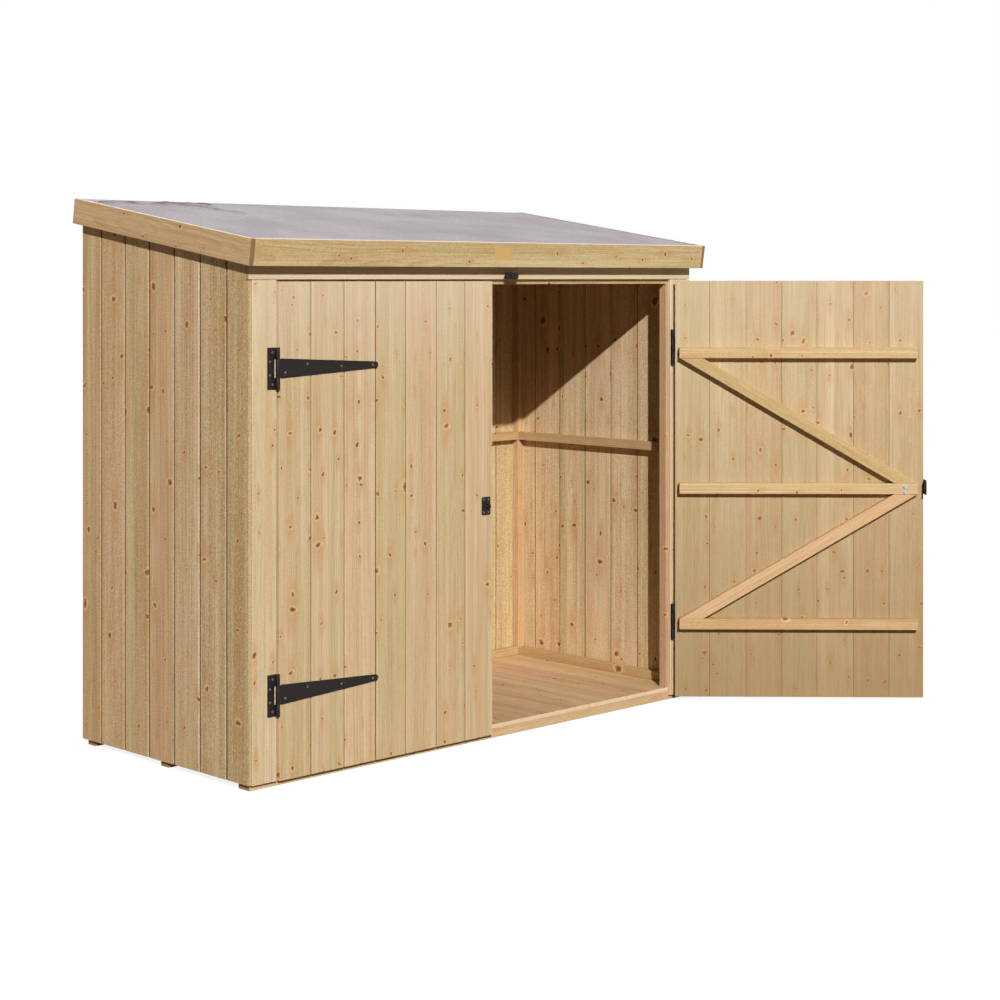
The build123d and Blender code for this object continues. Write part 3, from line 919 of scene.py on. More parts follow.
@dataclass
class Joinery:
    """Timbers of one piece. Each one knows its own grain, so no two boards look alike."""

    node: str
    ending: str
    slot: Slot
    finish: Softwood
    seed: int
    body: Body = Body.SHELTER
    swing: Matrix | None = None

    def __post_init__(self) -> None:
        """Open the mesh and its layers."""
        self.mesh = bmesh.new()
        self.number = self.mesh.verts.layers.int.new("timber")
        self.grain = self.mesh.verts.layers.float_vector.new("grain")
        self.own = self.mesh.verts.layers.float_vector.new("board")
        self.edge = self.mesh.loops.layers.float_vector.new("edge")
        self.random = random.Random(self.seed)
        self.count = 0

    def timber(
        self,
        x: Pair,
        y: Pair,
        z: Pair,
        along: Way,
        face: Way,
        worked: Worked = SQUARE,
        cuts: Iterable[Cut] = (),
        pick: Pick | None = None,
    ) -> None:
        """Add a timber between three pairs of faces, in millimetres.

        Args:
            x: Its faces across the shelter.
            y: Its faces from front to rear.
            z: Its lower and upper faces.
            along: The way its length runs.
            face: The way its face side points.
            worked: How its edges are worked.
            cuts: Planes that cut it off.
            pick: Its looks, or None for random ones.
        """
        low = Vector((min(x), min(y), min(z)))
        high = Vector((max(x), max(y), max(z)))
        place = laid(face.vector, along.vector, (low + high) / 2)
        axes = (face.vector.cross(along.vector), face.vector, along.vector)
        self.board(tuple(abs((high - low).dot(axis)) for axis in axes), place, worked, cuts, pick)

    def board(
        self,
        extents: Triple,
        place: Matrix,
        worked: Worked = SQUARE,
        cuts: Iterable[Cut] = (),
        pick: Pick | None = None,
    ) -> None:
        """Add a board of the extents across, through and along, in millimetres.

        Args:
            extents: Its width, thickness and length.
            place: Where it lies, in millimetres, before the piece is swung.
            worked: How its edges are worked.
            cuts: Planes that cut it off.
            pick: Its looks, or None for random ones.
        """
        blank = bmesh.ops.create_cube(self.mesh, size=1.0)["verts"]
        bmesh.ops.scale(self.mesh, vec=extents, verts=blank)
        if worked.chamfer:
            shoulders = [e for e in self._new_edges() if self._is_shoulder(e, worked.bare)]
            ease(self.mesh, shoulders, worked.chamfer)
        sharp = [e for e in self._new_edges() if e.calc_face_angle(0.0) > 0.6]
        ease(self.mesh, sharp, worked.arris)
        if worked.tongue and worked.bare < 1:
            tongue = bmesh.ops.create_cube(self.mesh, size=1.0)["verts"]
            size = (worked.tongue, extents[1] * 0.3, extents[2] - 1.0)
            bmesh.ops.scale(self.mesh, vec=size, verts=tongue)
            bmesh.ops.translate(self.mesh, vec=(extents[0] / 2, -extents[1] * 0.1, 0.0), verts=tongue)
        bmesh.ops.transform(self.mesh, matrix=place, verts=self._new_verts())
        for cut in cuts:
            self._saw_off(cut)
        self._write_edges(place, extents, worked)
        self._write_grain(place, pick)

    def build(self) -> None:
        """Turn the timbers into the finished piece."""
        to_metres(self.mesh, self.swing)
        self.mesh.verts.layers.int.remove(self.number)
        name = f"{self.node}_{self.ending}"
        finished_piece(name, self.mesh, self.finish, self.body, [self.node])

    def _new_verts(self) -> list[bmesh.types.BMVert]:
        """Vertices of the timber that is being made."""
        return [v for v in self.mesh.verts if v[self.number] == 0]

    def _new_edges(self) -> list[bmesh.types.BMEdge]:
        """Edges of the timber that is being made."""
        return [e for e in self.mesh.edges if e.verts[0][self.number] == 0]

    def _new_faces(self) -> list[bmesh.types.BMFace]:
        """Faces of the timber that is being made."""
        return [f for f in self.mesh.faces if f.verts[0][self.number] == 0]

    def _is_shoulder(self, edge: bmesh.types.BMEdge, bare: int) -> bool:
        """Whether an edge is a long one on the face side, and not on the bare side.

        Args:
            edge: The edge of a board that lies along z with its face to y.
            bare: The sign on x of the side that meets no other board, or 0.

        Returns:
            Whether the edge gets a chamfer.
        """
        ends = [v.co for v in edge.verts]
        upright = abs(ends[0].z - ends[1].z) > abs(ends[0].x - ends[1].x)
        return upright and all(end.y > 0.0 and end.x * bare <= 0.0 for end in ends)

    def _saw_off(self, cut: Cut) -> None:
        """Cut the new timber off and close its end.

        Args:
            cut: The plane that cuts it.
        """
        new = self._new_verts() + self._new_edges() + self._new_faces()
        bmesh.ops.bisect_plane(
            self.mesh, geom=new, dist=1e-4, plane_co=cut.at, plane_no=cut.away, clear_outer=True
        )
        open_edges = [e for e in self._new_edges() if e.is_boundary]
        bmesh.ops.holes_fill(self.mesh, edges=open_edges, sides=0)

    def _write_edges(self, place: Matrix, extents: Triple, worked: Worked) -> None:
        """Mark for each corner of a face what the wood's material needs to know of it.

        The mark holds how far down in a V-joint it is, 1 on a sawn end, and 1 on an edge or -1 on
        the back.

        Args:
            place: Where the board lies, in millimetres.
            extents: Its width, thickness and length.
            worked: How its edges are worked.
        """
        back = place.inverted()
        turn = back.to_3x3()
        depth = max(worked.chamfer, 0.1)
        for face in self._new_faces():
            normal = turn @ face.normal
            end = 1.0 if abs(normal.z) > 0.6 else 0.0
            joined = worked.tongue > 0.0 and normal.x * worked.bare <= 0.0
            sloped = joined and abs(normal.x) > 0.3 and not end
            side = 1.0 if abs(normal.x) > 0.5 else (-1.0 if normal.y < -0.5 else 0.0)
            for loop in face.loops:
                down = (extents[1] / 2 - (back @ loop.vert.co).y) / depth
                loop[self.edge] = (min(max(down, 0.0), 1.0) if sloped else 0.0, end, side)

    def _write_grain(self, place: Matrix, pick: Pick | None) -> None:
        """Give the new timber its own coordinates in metres and its own tone, hue and knots.

        Args:
            place: Where the board lies, in millimetres.
            pick: Its looks, or None for random ones.
        """
        self.count += 1
        back = place.inverted()
        draw = self.random
        # The pith runs beside the board, so that the rings cross it in long arches.
        heart_x = draw.uniform(-0.05, 0.05) - 0.055
        heart_y = draw.choice((-1.0, 1.0)) * draw.uniform(0.02, 0.075) - 0.055
        heart = Vector((heart_x, heart_y, draw.uniform(0.0, 40.0)))
        own = Vector((draw.random(), draw.random(), draw.random()))
        if pick is not None:
            own = Vector((pick.tone, pick.hue, pick.knots))
        for vert in self._new_verts():
            vert[self.grain] = (back @ vert.co) * MM + heart
            vert[self.own] = own
            vert[self.number] = self.count


@dataclass(frozen=True)
class HeadShape:
    """A turned head of a fixing, in millimetres: a cone on its foot, with `top` times its radius."""

    radius: float
    height: float
    sides: int = 8
    top: float = 0.7


WALL_NAIL = HeadShape(1.8, 0.25)
DOOR_NAIL = HeadShape(1.7, 0.25)
FASCIA_NAIL = HeadShape(1.9, 0.3)
CLOUT = HeadShape(4.6, 0.6, 12, 0.9)
BOLT_HEAD = HeadShape(6.5, 3.2, 24, 0.45)
WASHER = HeadShape(7.2, 1.2, 24, 0.98)
NUT = HeadShape(5.8, 4.6, 6, 0.95)
BOLT_TIP = HeadShape(3.0, 2.6, 16, 0.85)


@dataclass
class Fixings:
    """Nail, screw or bolt heads of one piece, each a low turned cap."""

    name: str
    finish: JapannedSteel | PlainMetal
    body: Body = Body.SHELTER
    swing: Matrix | None = None

    def __post_init__(self) -> None:
        """Open the mesh."""
        self.mesh = bmesh.new()

    def head(self, at: Sequence[float], out: Vector, shape: HeadShape) -> None:
        """Add a turned head, in millimetres.

        Args:
            at: The middle of its foot.
            out: The way it points.
            shape: Its sizes.
        """
        turn = out.to_track_quat("Z", "Y").to_matrix().to_4x4()
        bmesh.ops.create_cone(
            self.mesh,
            cap_ends=True,
            segments=shape.sides,
            radius1=shape.radius,
            radius2=shape.radius * shape.top,
            depth=shape.height + 0.4,
            matrix=Matrix.Translation(Vector(at) + out * (shape.height / 2 - 0.2)) @ turn,
        )

    def dome(self, at: Triple, radius: float, height: float) -> None:
        """Add a round head that points to the front, in millimetres.

        Args:
            at: The middle of its foot.
            radius: Radius of its foot.
            height: How far it stands out.
        """
        turn = Way.FRONT.vector.to_track_quat("Z", "Y").to_matrix().to_4x4()
        squash = Matrix.Diagonal((1.0, 1.0, height / radius, 1.0))
        verts = bmesh.ops.create_uvsphere(
            self.mesh,
            u_segments=20,
            v_segments=10,
            radius=radius,
            matrix=Matrix.Translation(Vector(at)) @ turn @ squash,
        )["verts"]
        for face in {face for vert in verts for face in vert.link_faces}:
            face.smooth = True

    def build(self) -> None:
        """Turn the heads into the finished piece."""
        to_metres(self.mesh, self.swing)
        finished_piece(self.name, self.mesh, self.finish, self.body)


@dataclass
class GroundFrame:
    """Sill, bearers and floor boards."""

    sill_inwards: float = 20.0
    bearer_width: float = 38.0
    first_joint: float = -806.0
    floor_pitch: float = 118.5
    floor_boards: int = 16
    floor_gap: float = 0.6
    floor_edges: Worked = Worked(1.2, 0.4, 5.0)

    def build(self) -> None:
        """Build the sill, the two bearers and the floor."""
        s = SIZES
        across, low = (-s.inner_side, s.inner_side), (0.0, s.floor_bottom)
        middle = (-self.bearer_width / 2, self.bearer_width / 2)
        rear = (s.inner_rear - self.bearer_width, s.inner_rear)
        sill = (s.inner_front, s.frame_front + self.sill_inwards)
        for node, ending, finish, seed, y, face in (
            ("sill_rail", "planed", SILL_WOOD, 11, sill, Way.FRONT),
            ("middle_bearer", "sawn", INSIDE_FRAMING, 12, middle, Way.UP),
            ("rear_bearer", "sawn", INSIDE_FRAMING, 12, rear, Way.UP),
        ):
            bearer = Joinery(node, ending, Slot.FRAMING, finish, seed)
            bearer.timber(across, y, low, Way.RIGHT, face)
            bearer.build()
        floor = Joinery("floor_boards", "laid", Slot.CLADDING, FLOOR_WOOD, 13)
        cuts = [self.first_joint + self.floor_pitch * step for step in range(self.floor_boards - 1)]
        joints = (-s.inner_side, *cuts, s.inner_side)
        run, thick = (s.inner_front + 0.5, s.inner_rear), (s.floor_bottom, s.floor_top)
        for left, right in zip(joints, joints[1:]):
            x = (left + self.floor_gap / 2, right - self.floor_gap / 2)
            floor.timber(x, run, thick, Way.BACK, Way.UP, self.floor_edges)
        floor.build()


@dataclass
class Walls:
    """Boarding of the sides and the rear, corner boards, head board and their nails."""

    side_joints: tuple[float, ...] = (-403.0, -304.5, -182.7, -60.9, 60.9, 182.7, 304.5, 403.0)
    rear_pitch: float = 121.8
    rear_boards: int = 15
    corner_width: float = 85.0
    corner_gap: float = 0.8
    head_gap: float = 2.2
    gaps: tuple[float, ...] = (2.0, 2.7, 2.2, 1.8, 2.6, 2.1)
    side_picks: tuple[Pick, ...] = (
        Pick(0.75, 0.25, 0.55),
        Pick(0.55, 0.35, 0.35),
        Pick(0.3, 0.7, 0.15),
        Pick(0.45, 0.65, 0.7),
        Pick(0.5, 0.25, 0.45),
        Pick(0.55, 0.85, 1.0),
        Pick(0.8, 0.5, 0.6),
    )

    def build(self) -> None:
        """Build the walls' boards and their nails."""
        s = SIZES
        front = (s.front, s.inner_front)
        for hand, name, out, _ in HANDS:
            self._side(hand, name, out)
            corner = Joinery(f"{name}_corner_board", "planed", Slot.CLADDING, FRONT_CLADDING, 31 + hand)
            x = (hand * (s.inner_side - self.corner_width), hand * (s.inner_side - self.corner_gap))
            z = (s.fronts_low, s.head_board_low - 0.4)
            corner.timber(x, front, z, Way.UP, Way.FRONT, pick=Pick(-0.8, 0.6, 0.3))
            corner.build()
        self._rear()
        head = Joinery("head_board", "planed", Slot.CLADDING, FRONT_CLADDING, 51)
        z = (s.head_board_low, s.front_rough)
        pick = Pick(0.3, 0.5, 0.3)
        head.timber((-s.side, s.side), front, z, Way.RIGHT, Way.FRONT, SQUARE, [UNDER_DECK], pick)
        head.build()
        self._nails()

    def _rear(self) -> None:
        """Boards of the rear wall."""
        s = SIZES
        rear = Joinery("rear_wall_boards", "matched", Slot.CLADDING, SIDE_CLADDING, 41)
        cuts = [self.rear_pitch * (step - self.rear_boards / 2) for step in range(1, self.rear_boards)]
        joints = (-s.inner_side, *cuts, s.inner_side)
        y, z = (s.inner_rear, s.rear), (s.walls_low, s.rear_rough)
        for number, (low, high) in enumerate(zip(joints, joints[1:])):
            gap = self.gaps[number % len(self.gaps)] / 2
            rear.timber((low + gap, high - gap), y, z, Way.UP, Way.BACK, WALL_BOARD, [UNDER_DECK])
        rear.build()

    def _side(self, hand: int, name: str, out: Way) -> None:
        """Boards of one side wall. The front one is notched for the end of the head board.

        Args:
            hand: The side's sign on x.
            name: The side's name.
            out: The way out of the shelter there.
        """
        s = SIZES
        wall = Joinery(f"{name}_wall_boards", "matched", Slot.CLADDING, SIDE_CLADDING, 21 + hand)
        x = (hand * s.inner_side, hand * s.side)
        spans = list(zip(self.side_joints, self.side_joints[1:]))
        last = len(spans) - 1
        notch = s.head_board_low - self.head_gap
        for number, (low, high) in enumerate(spans):
            near = self.gaps[number % len(self.gaps)] / 2 if number else 0.0
            far = self.gaps[(number + 1) % len(self.gaps)] / 2 if number < last else 0.0
            pick = self.side_picks[number]
            if hand > 0:
                pick = Pick(pick.tone * 0.45 - 0.25, pick.hue, 0.4 + 0.6 * pick.knots)
            y = (low + near, high - far)
            worked = replace(WALL_BOARD, bare={0: hand, last: -hand}.get(number, 0))
            if number:
                wall.timber(x, y, (s.walls_low, s.rear_rough), Way.UP, out, worked, [UNDER_DECK], pick)
                continue
            wall.timber(x, y, (s.walls_low, notch), Way.UP, out, worked, (), pick)
            y = (s.inner_front + 0.4, high - far)
            wall.timber(x, y, (notch, s.rear_rough), Way.UP, out, worked, [UNDER_DECK], pick)
        wall.build()

    def _nails(self) -> None:
        """Bright nails through the boards into the rails behind them, two to a board."""
        s = SIZES
        nails = Fixings("wall_nails", NAIL_STEEL)
        rails = (s.floor_top + s.stud / 2, s.mid_rail_low + s.stud / 2)
        front, back = Way.FRONT.vector, Way.BACK.vector
        for low, high in zip(self.side_joints, self.side_joints[1:]):
            for share, lift in ((0.24, 4.0), (0.76, -4.0)):
                y = low + (high - low) * share
                for z in (*rails, s.under_deck(y, s.stud / 2)):
                    for hand, _, out, _ in HANDS:
                        nails.head((hand * s.side, y, z + lift), out.vector, WALL_NAIL)
        for step in range(2 * self.rear_boards):
            x = self.rear_pitch * (step / 2 + 0.25 - self.rear_boards / 2)
            for z in (*rails, s.under_deck(s.rear, s.stud / 2)):
                nails.head((x, s.rear, z + 4.0 * (-1) ** step), back, WALL_NAIL)
        for hand in (-1, 1):
            for step in range(6):
                for x, lift in ((830.0, 0.0), (890.0, 6.0)):
                    nails.head((hand * x, s.front, 70.0 + step * 250.0 + lift), front, WALL_NAIL)
        for step in range(9):
            for x, z in ((-880.0, 1400.0), (-860.0, 1425.0)):
                nails.head((x + step * 215.0, s.front, z), front, WALL_NAIL)
        nails.build()


@dataclass
class WallFrame:
    """Posts, rails and studs inside the walls, all plain sawn timber."""

    jamb: Pair = (809.0, 837.0)

    def build(self) -> None:
        """Build the front frame, the side frames, the rear frame and the rafter."""
        s = SIZES
        front, rear = (s.inner_front, s.frame_front), (s.frame_rear, s.inner_rear)
        top_low = s.under_deck(s.inner_front) - s.stud
        post, full = (s.floor_top, top_low), (s.floor_top, s.rear_rough)
        heights = [(low, low + s.stud) for low in (s.floor_top, s.mid_rail_low)]
        under = (0.0, s.front, s.under_deck(s.front, s.stud))
        down = tuple(-part for part in ROOF_UP)
        for hand, name, _, inwards in HANDS:
            x = (hand * self.jamb[0], hand * self.jamb[1])
            node = f"{name}_jamb_post"
            self._plain(node, 61 + hand, [(x, front, post)], Way.UP, inwards, finish=PINK_FRAMING)
        between, whole = (-self.jamb[0], self.jamb[0]), (-s.inner_side, s.inner_side)
        head = (s.head_rail_low, s.head_rail_low + s.stud)
        top = (top_low, s.front_rough)
        self._plain("head_rail", 64, [(between, front, head)], Way.RIGHT, Way.FRONT)
        self._plain("front_top_rail", 65, [(whole, front, top)], Way.RIGHT, Way.BACK, [UNDER_DECK])
        for hand, name, _, inwards in HANDS:
            x = (hand * s.frame_side, hand * s.inner_side)
            posts = [(x, front, post), (x, rear, full)]
            rails = [(x, (s.frame_front, s.frame_rear), z) for z in heights]
            self._plain(f"{name}_wall_posts", 71 + hand, posts, Way.UP, inwards, [UNDER_DECK])
            self._plain(f"{name}_wall_rails", 76 + hand, rails, Way.BACK, inwards)
            self._sloping(f"{name}_top_rail", 81 + hand, x, inwards)
        half = s.stud / 2
        rails = [((hand * half, hand * s.frame_side), rear, z) for z in heights for hand in (-1, 1)]
        top = [((-s.frame_side, s.frame_side), rear, (1540.0, s.rear_rough))]
        stud = [((-half, half), rear, full)]
        self._plain("rear_wall_rails", 91, rails, Way.RIGHT, Way.FRONT)
        self._plain("rear_top_rail", 92, top, Way.RIGHT, Way.FRONT, [UNDER_DECK, Cut(under, down)])
        self._plain("rear_middle_stud", 93, stud, Way.UP, Way.FRONT, [Cut(under, ROOF_UP)])
        self._sloping("roof_rafter", 94, (-half, half), Way.LEFT)

    def _plain(
        self,
        node: str,
        seed: int,
        spans: Iterable[tuple[Pair, Pair, Pair]],
        along: Way,
        face: Way,
        cuts: Sequence[Cut] = (),
        finish: Softwood = INSIDE_FRAMING,
    ) -> None:
        """Build a piece of plain timbers that all run the same way.

        Args:
            node: The CAD node it stands for.
            seed: Seed of its boards' looks.
            spans: Each timber's faces in x, y and z, in millimetres.
            along: The way their length runs.
            face: The way their face side points.
            cuts: Planes that cut them off.
            finish: The wood they are of.
        """
        piece = Joinery(node, "sawn", Slot.FRAMING, finish, seed)
        for x, y, z in spans:
            piece.timber(x, y, z, along, face, cuts=cuts)
        piece.build()

    def _sloping(self, node: str, seed: int, x: Pair, face: Way) -> None:
        """Build a rail under the deck that runs up the slope between two upright ends.

        Args:
            node: The CAD node it stands for.
            seed: Seed of its looks.
            x: Its faces across the shelter, in millimetres.
            face: The way its face side points.
        """
        s = SIZES
        near, far = s.frame_front, s.frame_rear
        middle = (near + far) / 2
        centre = Vector(((x[0] + x[1]) / 2, middle, s.under_deck(middle, s.stud / 2)))
        size = (s.stud, abs(x[1] - x[0]), (far - near) / math.cos(s.slope) + 20.0)
        ends = [Cut((0.0, near, 0.0), Way.FRONT.value), Cut((0.0, far, 0.0), Way.BACK.value)]
        rail = Joinery(node, "sawn", Slot.FRAMING, INSIDE_FRAMING, seed)
        rail.board(size, laid(face.vector, UP_SLOPE, centre), cuts=ends)
        rail.build()


@dataclass
class Roof:
    """Deck, felt and fascias, laid out in the roof's own plane.

    A crease of the felt is a height and the points it runs through, both in millimetres from the
    middle of the sheet. The plate's four numbers are its left, right, lower and upper edges.
    """

    deck_boards: int = 8
    turn_down: float = 30.0
    felt_thickness: float = 1.6
    crease_half_width: float = 36.0
    creases: tuple[tuple[float, tuple[Pair, ...]], ...] = (
        (6.5, ((-893.0, 338.0), (-845.0, 366.0), (-788.0, 350.0))),
        (7.5, ((-704.0, 338.0), (-655.0, 370.0), (-610.0, 346.0), (-560.0, 374.0), (-508.0, 358.0))),
        (4.5, ((-630.0, 372.0), (-601.0, 318.0), (-562.0, 276.0), (-551.0, 226.0), (-520.0, 172.0))),
    )
    plate: tuple[float, float, float, float] = (-29.0, 38.0, 1441.0, 1477.0)

    def build(self) -> None:
        """Build the roof from the deck up."""
        self._deck()
        self._felt()
        self._fascias()
        self._nails()
        self._plate()

    def _on_slope(self, x: float, run: float, down: float) -> Vector:
        """Point in the row frame, `run` up the slope and `down` below the roof's top."""
        start = Vector((x, SIZES.eaves_y, SIZES.eaves_z))
        return start + UP_SLOPE * run - Vector(ROOF_UP) * down

    def _deck(self) -> None:
        """Deck boards across the roof."""
        s = SIZES
        deck = Joinery("roof_deck", "laid", Slot.ROOF_TIMBER, INSIDE_FRAMING, 101)
        pitch = (s.roof_length - s.felt - s.fascia) / self.deck_boards
        down = s.felt_drop + s.felt + s.deck / 2
        size = (pitch - 0.8, s.deck, 2 * (s.roof_side - s.fascia))
        for step in range(self.deck_boards):
            centre = self._on_slope(0.0, s.fascia + (step + 0.5) * pitch, down)
            place = laid(-Vector(ROOF_UP), Way.RIGHT.vector, centre)
            deck.board(size, place, Worked(1.6, 0.3, 7.0))
        deck.build()

    def _felt(self) -> None:
        """One width of felt, a little wavy where it isn't stuck down, turned down over the rear edge."""
        s = SIZES
        mesh = bmesh.new()
        wear_and_shade = mesh.verts.layers.float.new("wear_and_shade")
        half, length = s.roof_side - s.fascia, s.roof_length - s.fascia
        sheet = bmesh.ops.create_grid(mesh, x_segments=190, y_segments=90, size=0.5)["verts"]
        bmesh.ops.scale(mesh, vec=(2.0 * half, length, 1.0), verts=sheet)
        for vert in sheet:
            lift, vert[wear_and_shade] = self._wave(vert.co.x, vert.co.y, half, length)
            vert.co.z += lift
        rear = [e for e in mesh.edges if e.is_boundary and min(v.co.y for v in e.verts) > length / 2 - 0.1]
        fold = bmesh.ops.extrude_edge_only(mesh, edges=rear)["geom"]
        hem = [v for v in fold if isinstance(v, bmesh.types.BMVert)]
        bmesh.ops.translate(mesh, vec=(0.0, 0.0, -self.turn_down), verts=hem)
        centre = self._on_slope(0.0, s.fascia + length / 2, s.felt_drop + 0.1)
        place = Matrix.Translation(centre) @ Matrix.Rotation(s.slope, 4, "X")
        bmesh.ops.transform(mesh, matrix=place, verts=mesh.verts)
        to_metres(mesh)
        bmesh.ops.recalc_face_normals(mesh, faces=mesh.faces)
        for face in mesh.faces:
            face.smooth = True
        felt = finished_piece("roof_felt_laid", mesh, FELT, Body.SHELTER, ["roof_felt"])
        solid = felt.modifiers.new("thickness", "SOLIDIFY")
        solid.thickness = self.felt_thickness * MM
        solid.offset = -1.0

    def _wave(self, x: float, y: float, half: float, length: float) -> Pair:
        """Waves, lifted edges and creases of the felt, most of them in its rear left part.

        Args:
            x: Place across the sheet, from its middle.
            y: Place along the sheet, from its middle.
            half: Half the sheet's width.
            length: The sheet's length.

        Returns:
            How far the felt is lifted there, and how much dark colour it gets, 0 to 1: scuffs on the
            creases and painted shade along the side edges.
        """
        loose = max(0.0, 1.0 - math.hypot((x + 520.0) / 420.0, (y - 340.0) / 260.0))
        edge = min(1.0, (half - abs(x)) / 40.0, (length / 2 - abs(y) + 14.0) / 40.0)
        soft = noise.noise(Vector((x * 0.004, y * 0.006, 3.0)))
        buckle = noise.noise(Vector((x * 0.011 + y * 0.004, y * 0.02, 8.0)))
        # The felt can't sink into the deck, so a downward wave is held at a millimetre.
        lift = max(0.0, edge) * max(-1.0, 0.9 * soft + 7.0 * loose * buckle - 0.6)
        # Painted shade along the side fascias, wider on the left; the felt is lifted there too.
        wear_and_shade = 0.8 * max(0.0, 1.0 - (half - abs(x)) / (12.0 if x > 0.0 else 24.0))
        lift += 1.9 * wear_and_shade
        fade = min(max(0.9 + noise.noise(Vector((x * 0.021, y * 0.021, 5.0))), 0.0), 1.0)
        for height, points in self.creases:
            away = min(self._distance(Vector((x, y)), *ends) for ends in zip(points, points[1:]))
            slant = math.cos(math.pi * min(away / self.crease_half_width, 1.0))
            ridge = (0.5 + 0.5 * slant) * (0.4 + 0.6 * fade)
            lift = max(lift, height * ridge)
            wear_and_shade = max(wear_and_shade, ridge * fade)
        return lift, wear_and_shade

    def _distance(self, point: Vector, start: Pair, end: Pair) -> float:
        """Distance of a point from a stretch of a crease."""
        run, to = Vector(end) - Vector(start), point - Vector(start)
        return (to - run * min(max(to.dot(run) / run.length_squared, 0.0), 1.0)).length

    def _nails(self) -> None:
        """Nails in the fascias, and clout nails that hold the felt down along the rear edge."""
        s = SIZES
        nails = Fixings("fascia_nails", NAIL_STEEL)
        rows = (18.0, 56.0)
        for step in range(8):
            for down in rows:
                at = self._on_slope(-900.0 + step * 257.0 + 0.2 * down, 0.0, down)
                nails.head(at, -UP_SLOPE, FASCIA_NAIL)
        for hand, _, out, _ in HANDS:
            for step in range(5):
                for down in rows:
                    at = self._on_slope(hand * s.roof_side, 25.0 + step * 203.0, down)
                    nails.head(at, out.vector, FASCIA_NAIL)
        nails.build()
        clouts = Fixings("felt_clout_nails", ZINC)
        for step in range(19):
            at = self._on_slope(-909.0 + step * 101.0, s.roof_length - 0.2, 17.0)
            clouts.head(at, UP_SLOPE, CLOUT)
        clouts.build()

    def _fascias(self) -> None:
        """Front fascia between the two side fascias."""
        s = SIZES
        inner = s.roof_side - s.fascia
        short, long = 2 * inner - 2.4, s.roof_length
        middle = self._on_slope(0.0, s.fascia / 2, s.fascia_depth / 2)
        rows = [("front", 111, -UP_SLOPE, Way.RIGHT.vector, middle, short, Pick(0.15, 0.4, 0.7))]
        for hand, name, out, _ in HANDS:
            centre = self._on_slope(hand * (inner + s.fascia / 2), s.roof_length / 2, s.fascia_depth / 2)
            rows.append((name, 113 + hand, out.vector, UP_SLOPE, centre, long, Pick(0.5, 1.25, 0.35)))
        for name, seed, face, along, centre, length, pick in rows:
            board = Joinery(f"{name}_fascia", "planed", Slot.ROOF_TIMBER, FASCIA_WOOD, seed)
            size = (s.fascia_depth, s.fascia, length)
            board.board(size, laid(face, along, centre), Worked(arris=1.2), pick=pick)
            board.build()

    def _plate(self) -> None:
        """Bare plate in the middle of the front fascia, with nothing on it."""
        s = SIZES
        left, right, low, high = self.plate
        mesh = bmesh.new()
        blank = bmesh.ops.create_cube(mesh, size=1.0)["verts"]
        bmesh.ops.scale(mesh, vec=(right - left, 1.0, high - low), verts=blank)
        corners = [e for e in mesh.edges if abs(e.verts[0].co.y - e.verts[1].co.y) > 0.5]
        ease(mesh, corners, 3.0, segments=4)
        down = (s.eaves_z - (low + high) / 2) / math.cos(s.slope)
        centre = self._on_slope((left + right) / 2, 0.1, down)
        place = Matrix.Translation(centre) @ Matrix.Rotation(s.slope, 4, "X")
        bmesh.ops.transform(mesh, matrix=place, verts=mesh.verts)
        to_metres(mesh)
        finished_piece("bare_fascia_plate", mesh, BRASS, Body.SHELTER)


LEFT_HINGES = (251.0, 1141.0)
RIGHT_HINGES = (259.0, 1161.0)
LEFT_PICKS = (
    Pick(0.35, 0.6, 0.35),
    Pick(0.55, 0.4, 0.55),
    Pick(0.4, 0.65, 0.3),
    Pick(0.65, 0.2, 0.6),
    Pick(0.2, 0.75, 0.4),
    Pick(0.45, 0.55, 0.7),
    Pick(0.5, 0.3, 0.7),
)
RIGHT_PICKS = (
    Pick(0.4, 0.4, 0.6),
    Pick(0.75, 0.75, 0.5),
    Pick(0.15, 0.7, 0.8),
    Pick(0.35, 0.2, 0.7),
    Pick(0.7, 0.8, 0.5),
    Pick(0.3, 0.3, 0.2),
    Pick(0.25, 0.2, 0.35),
)


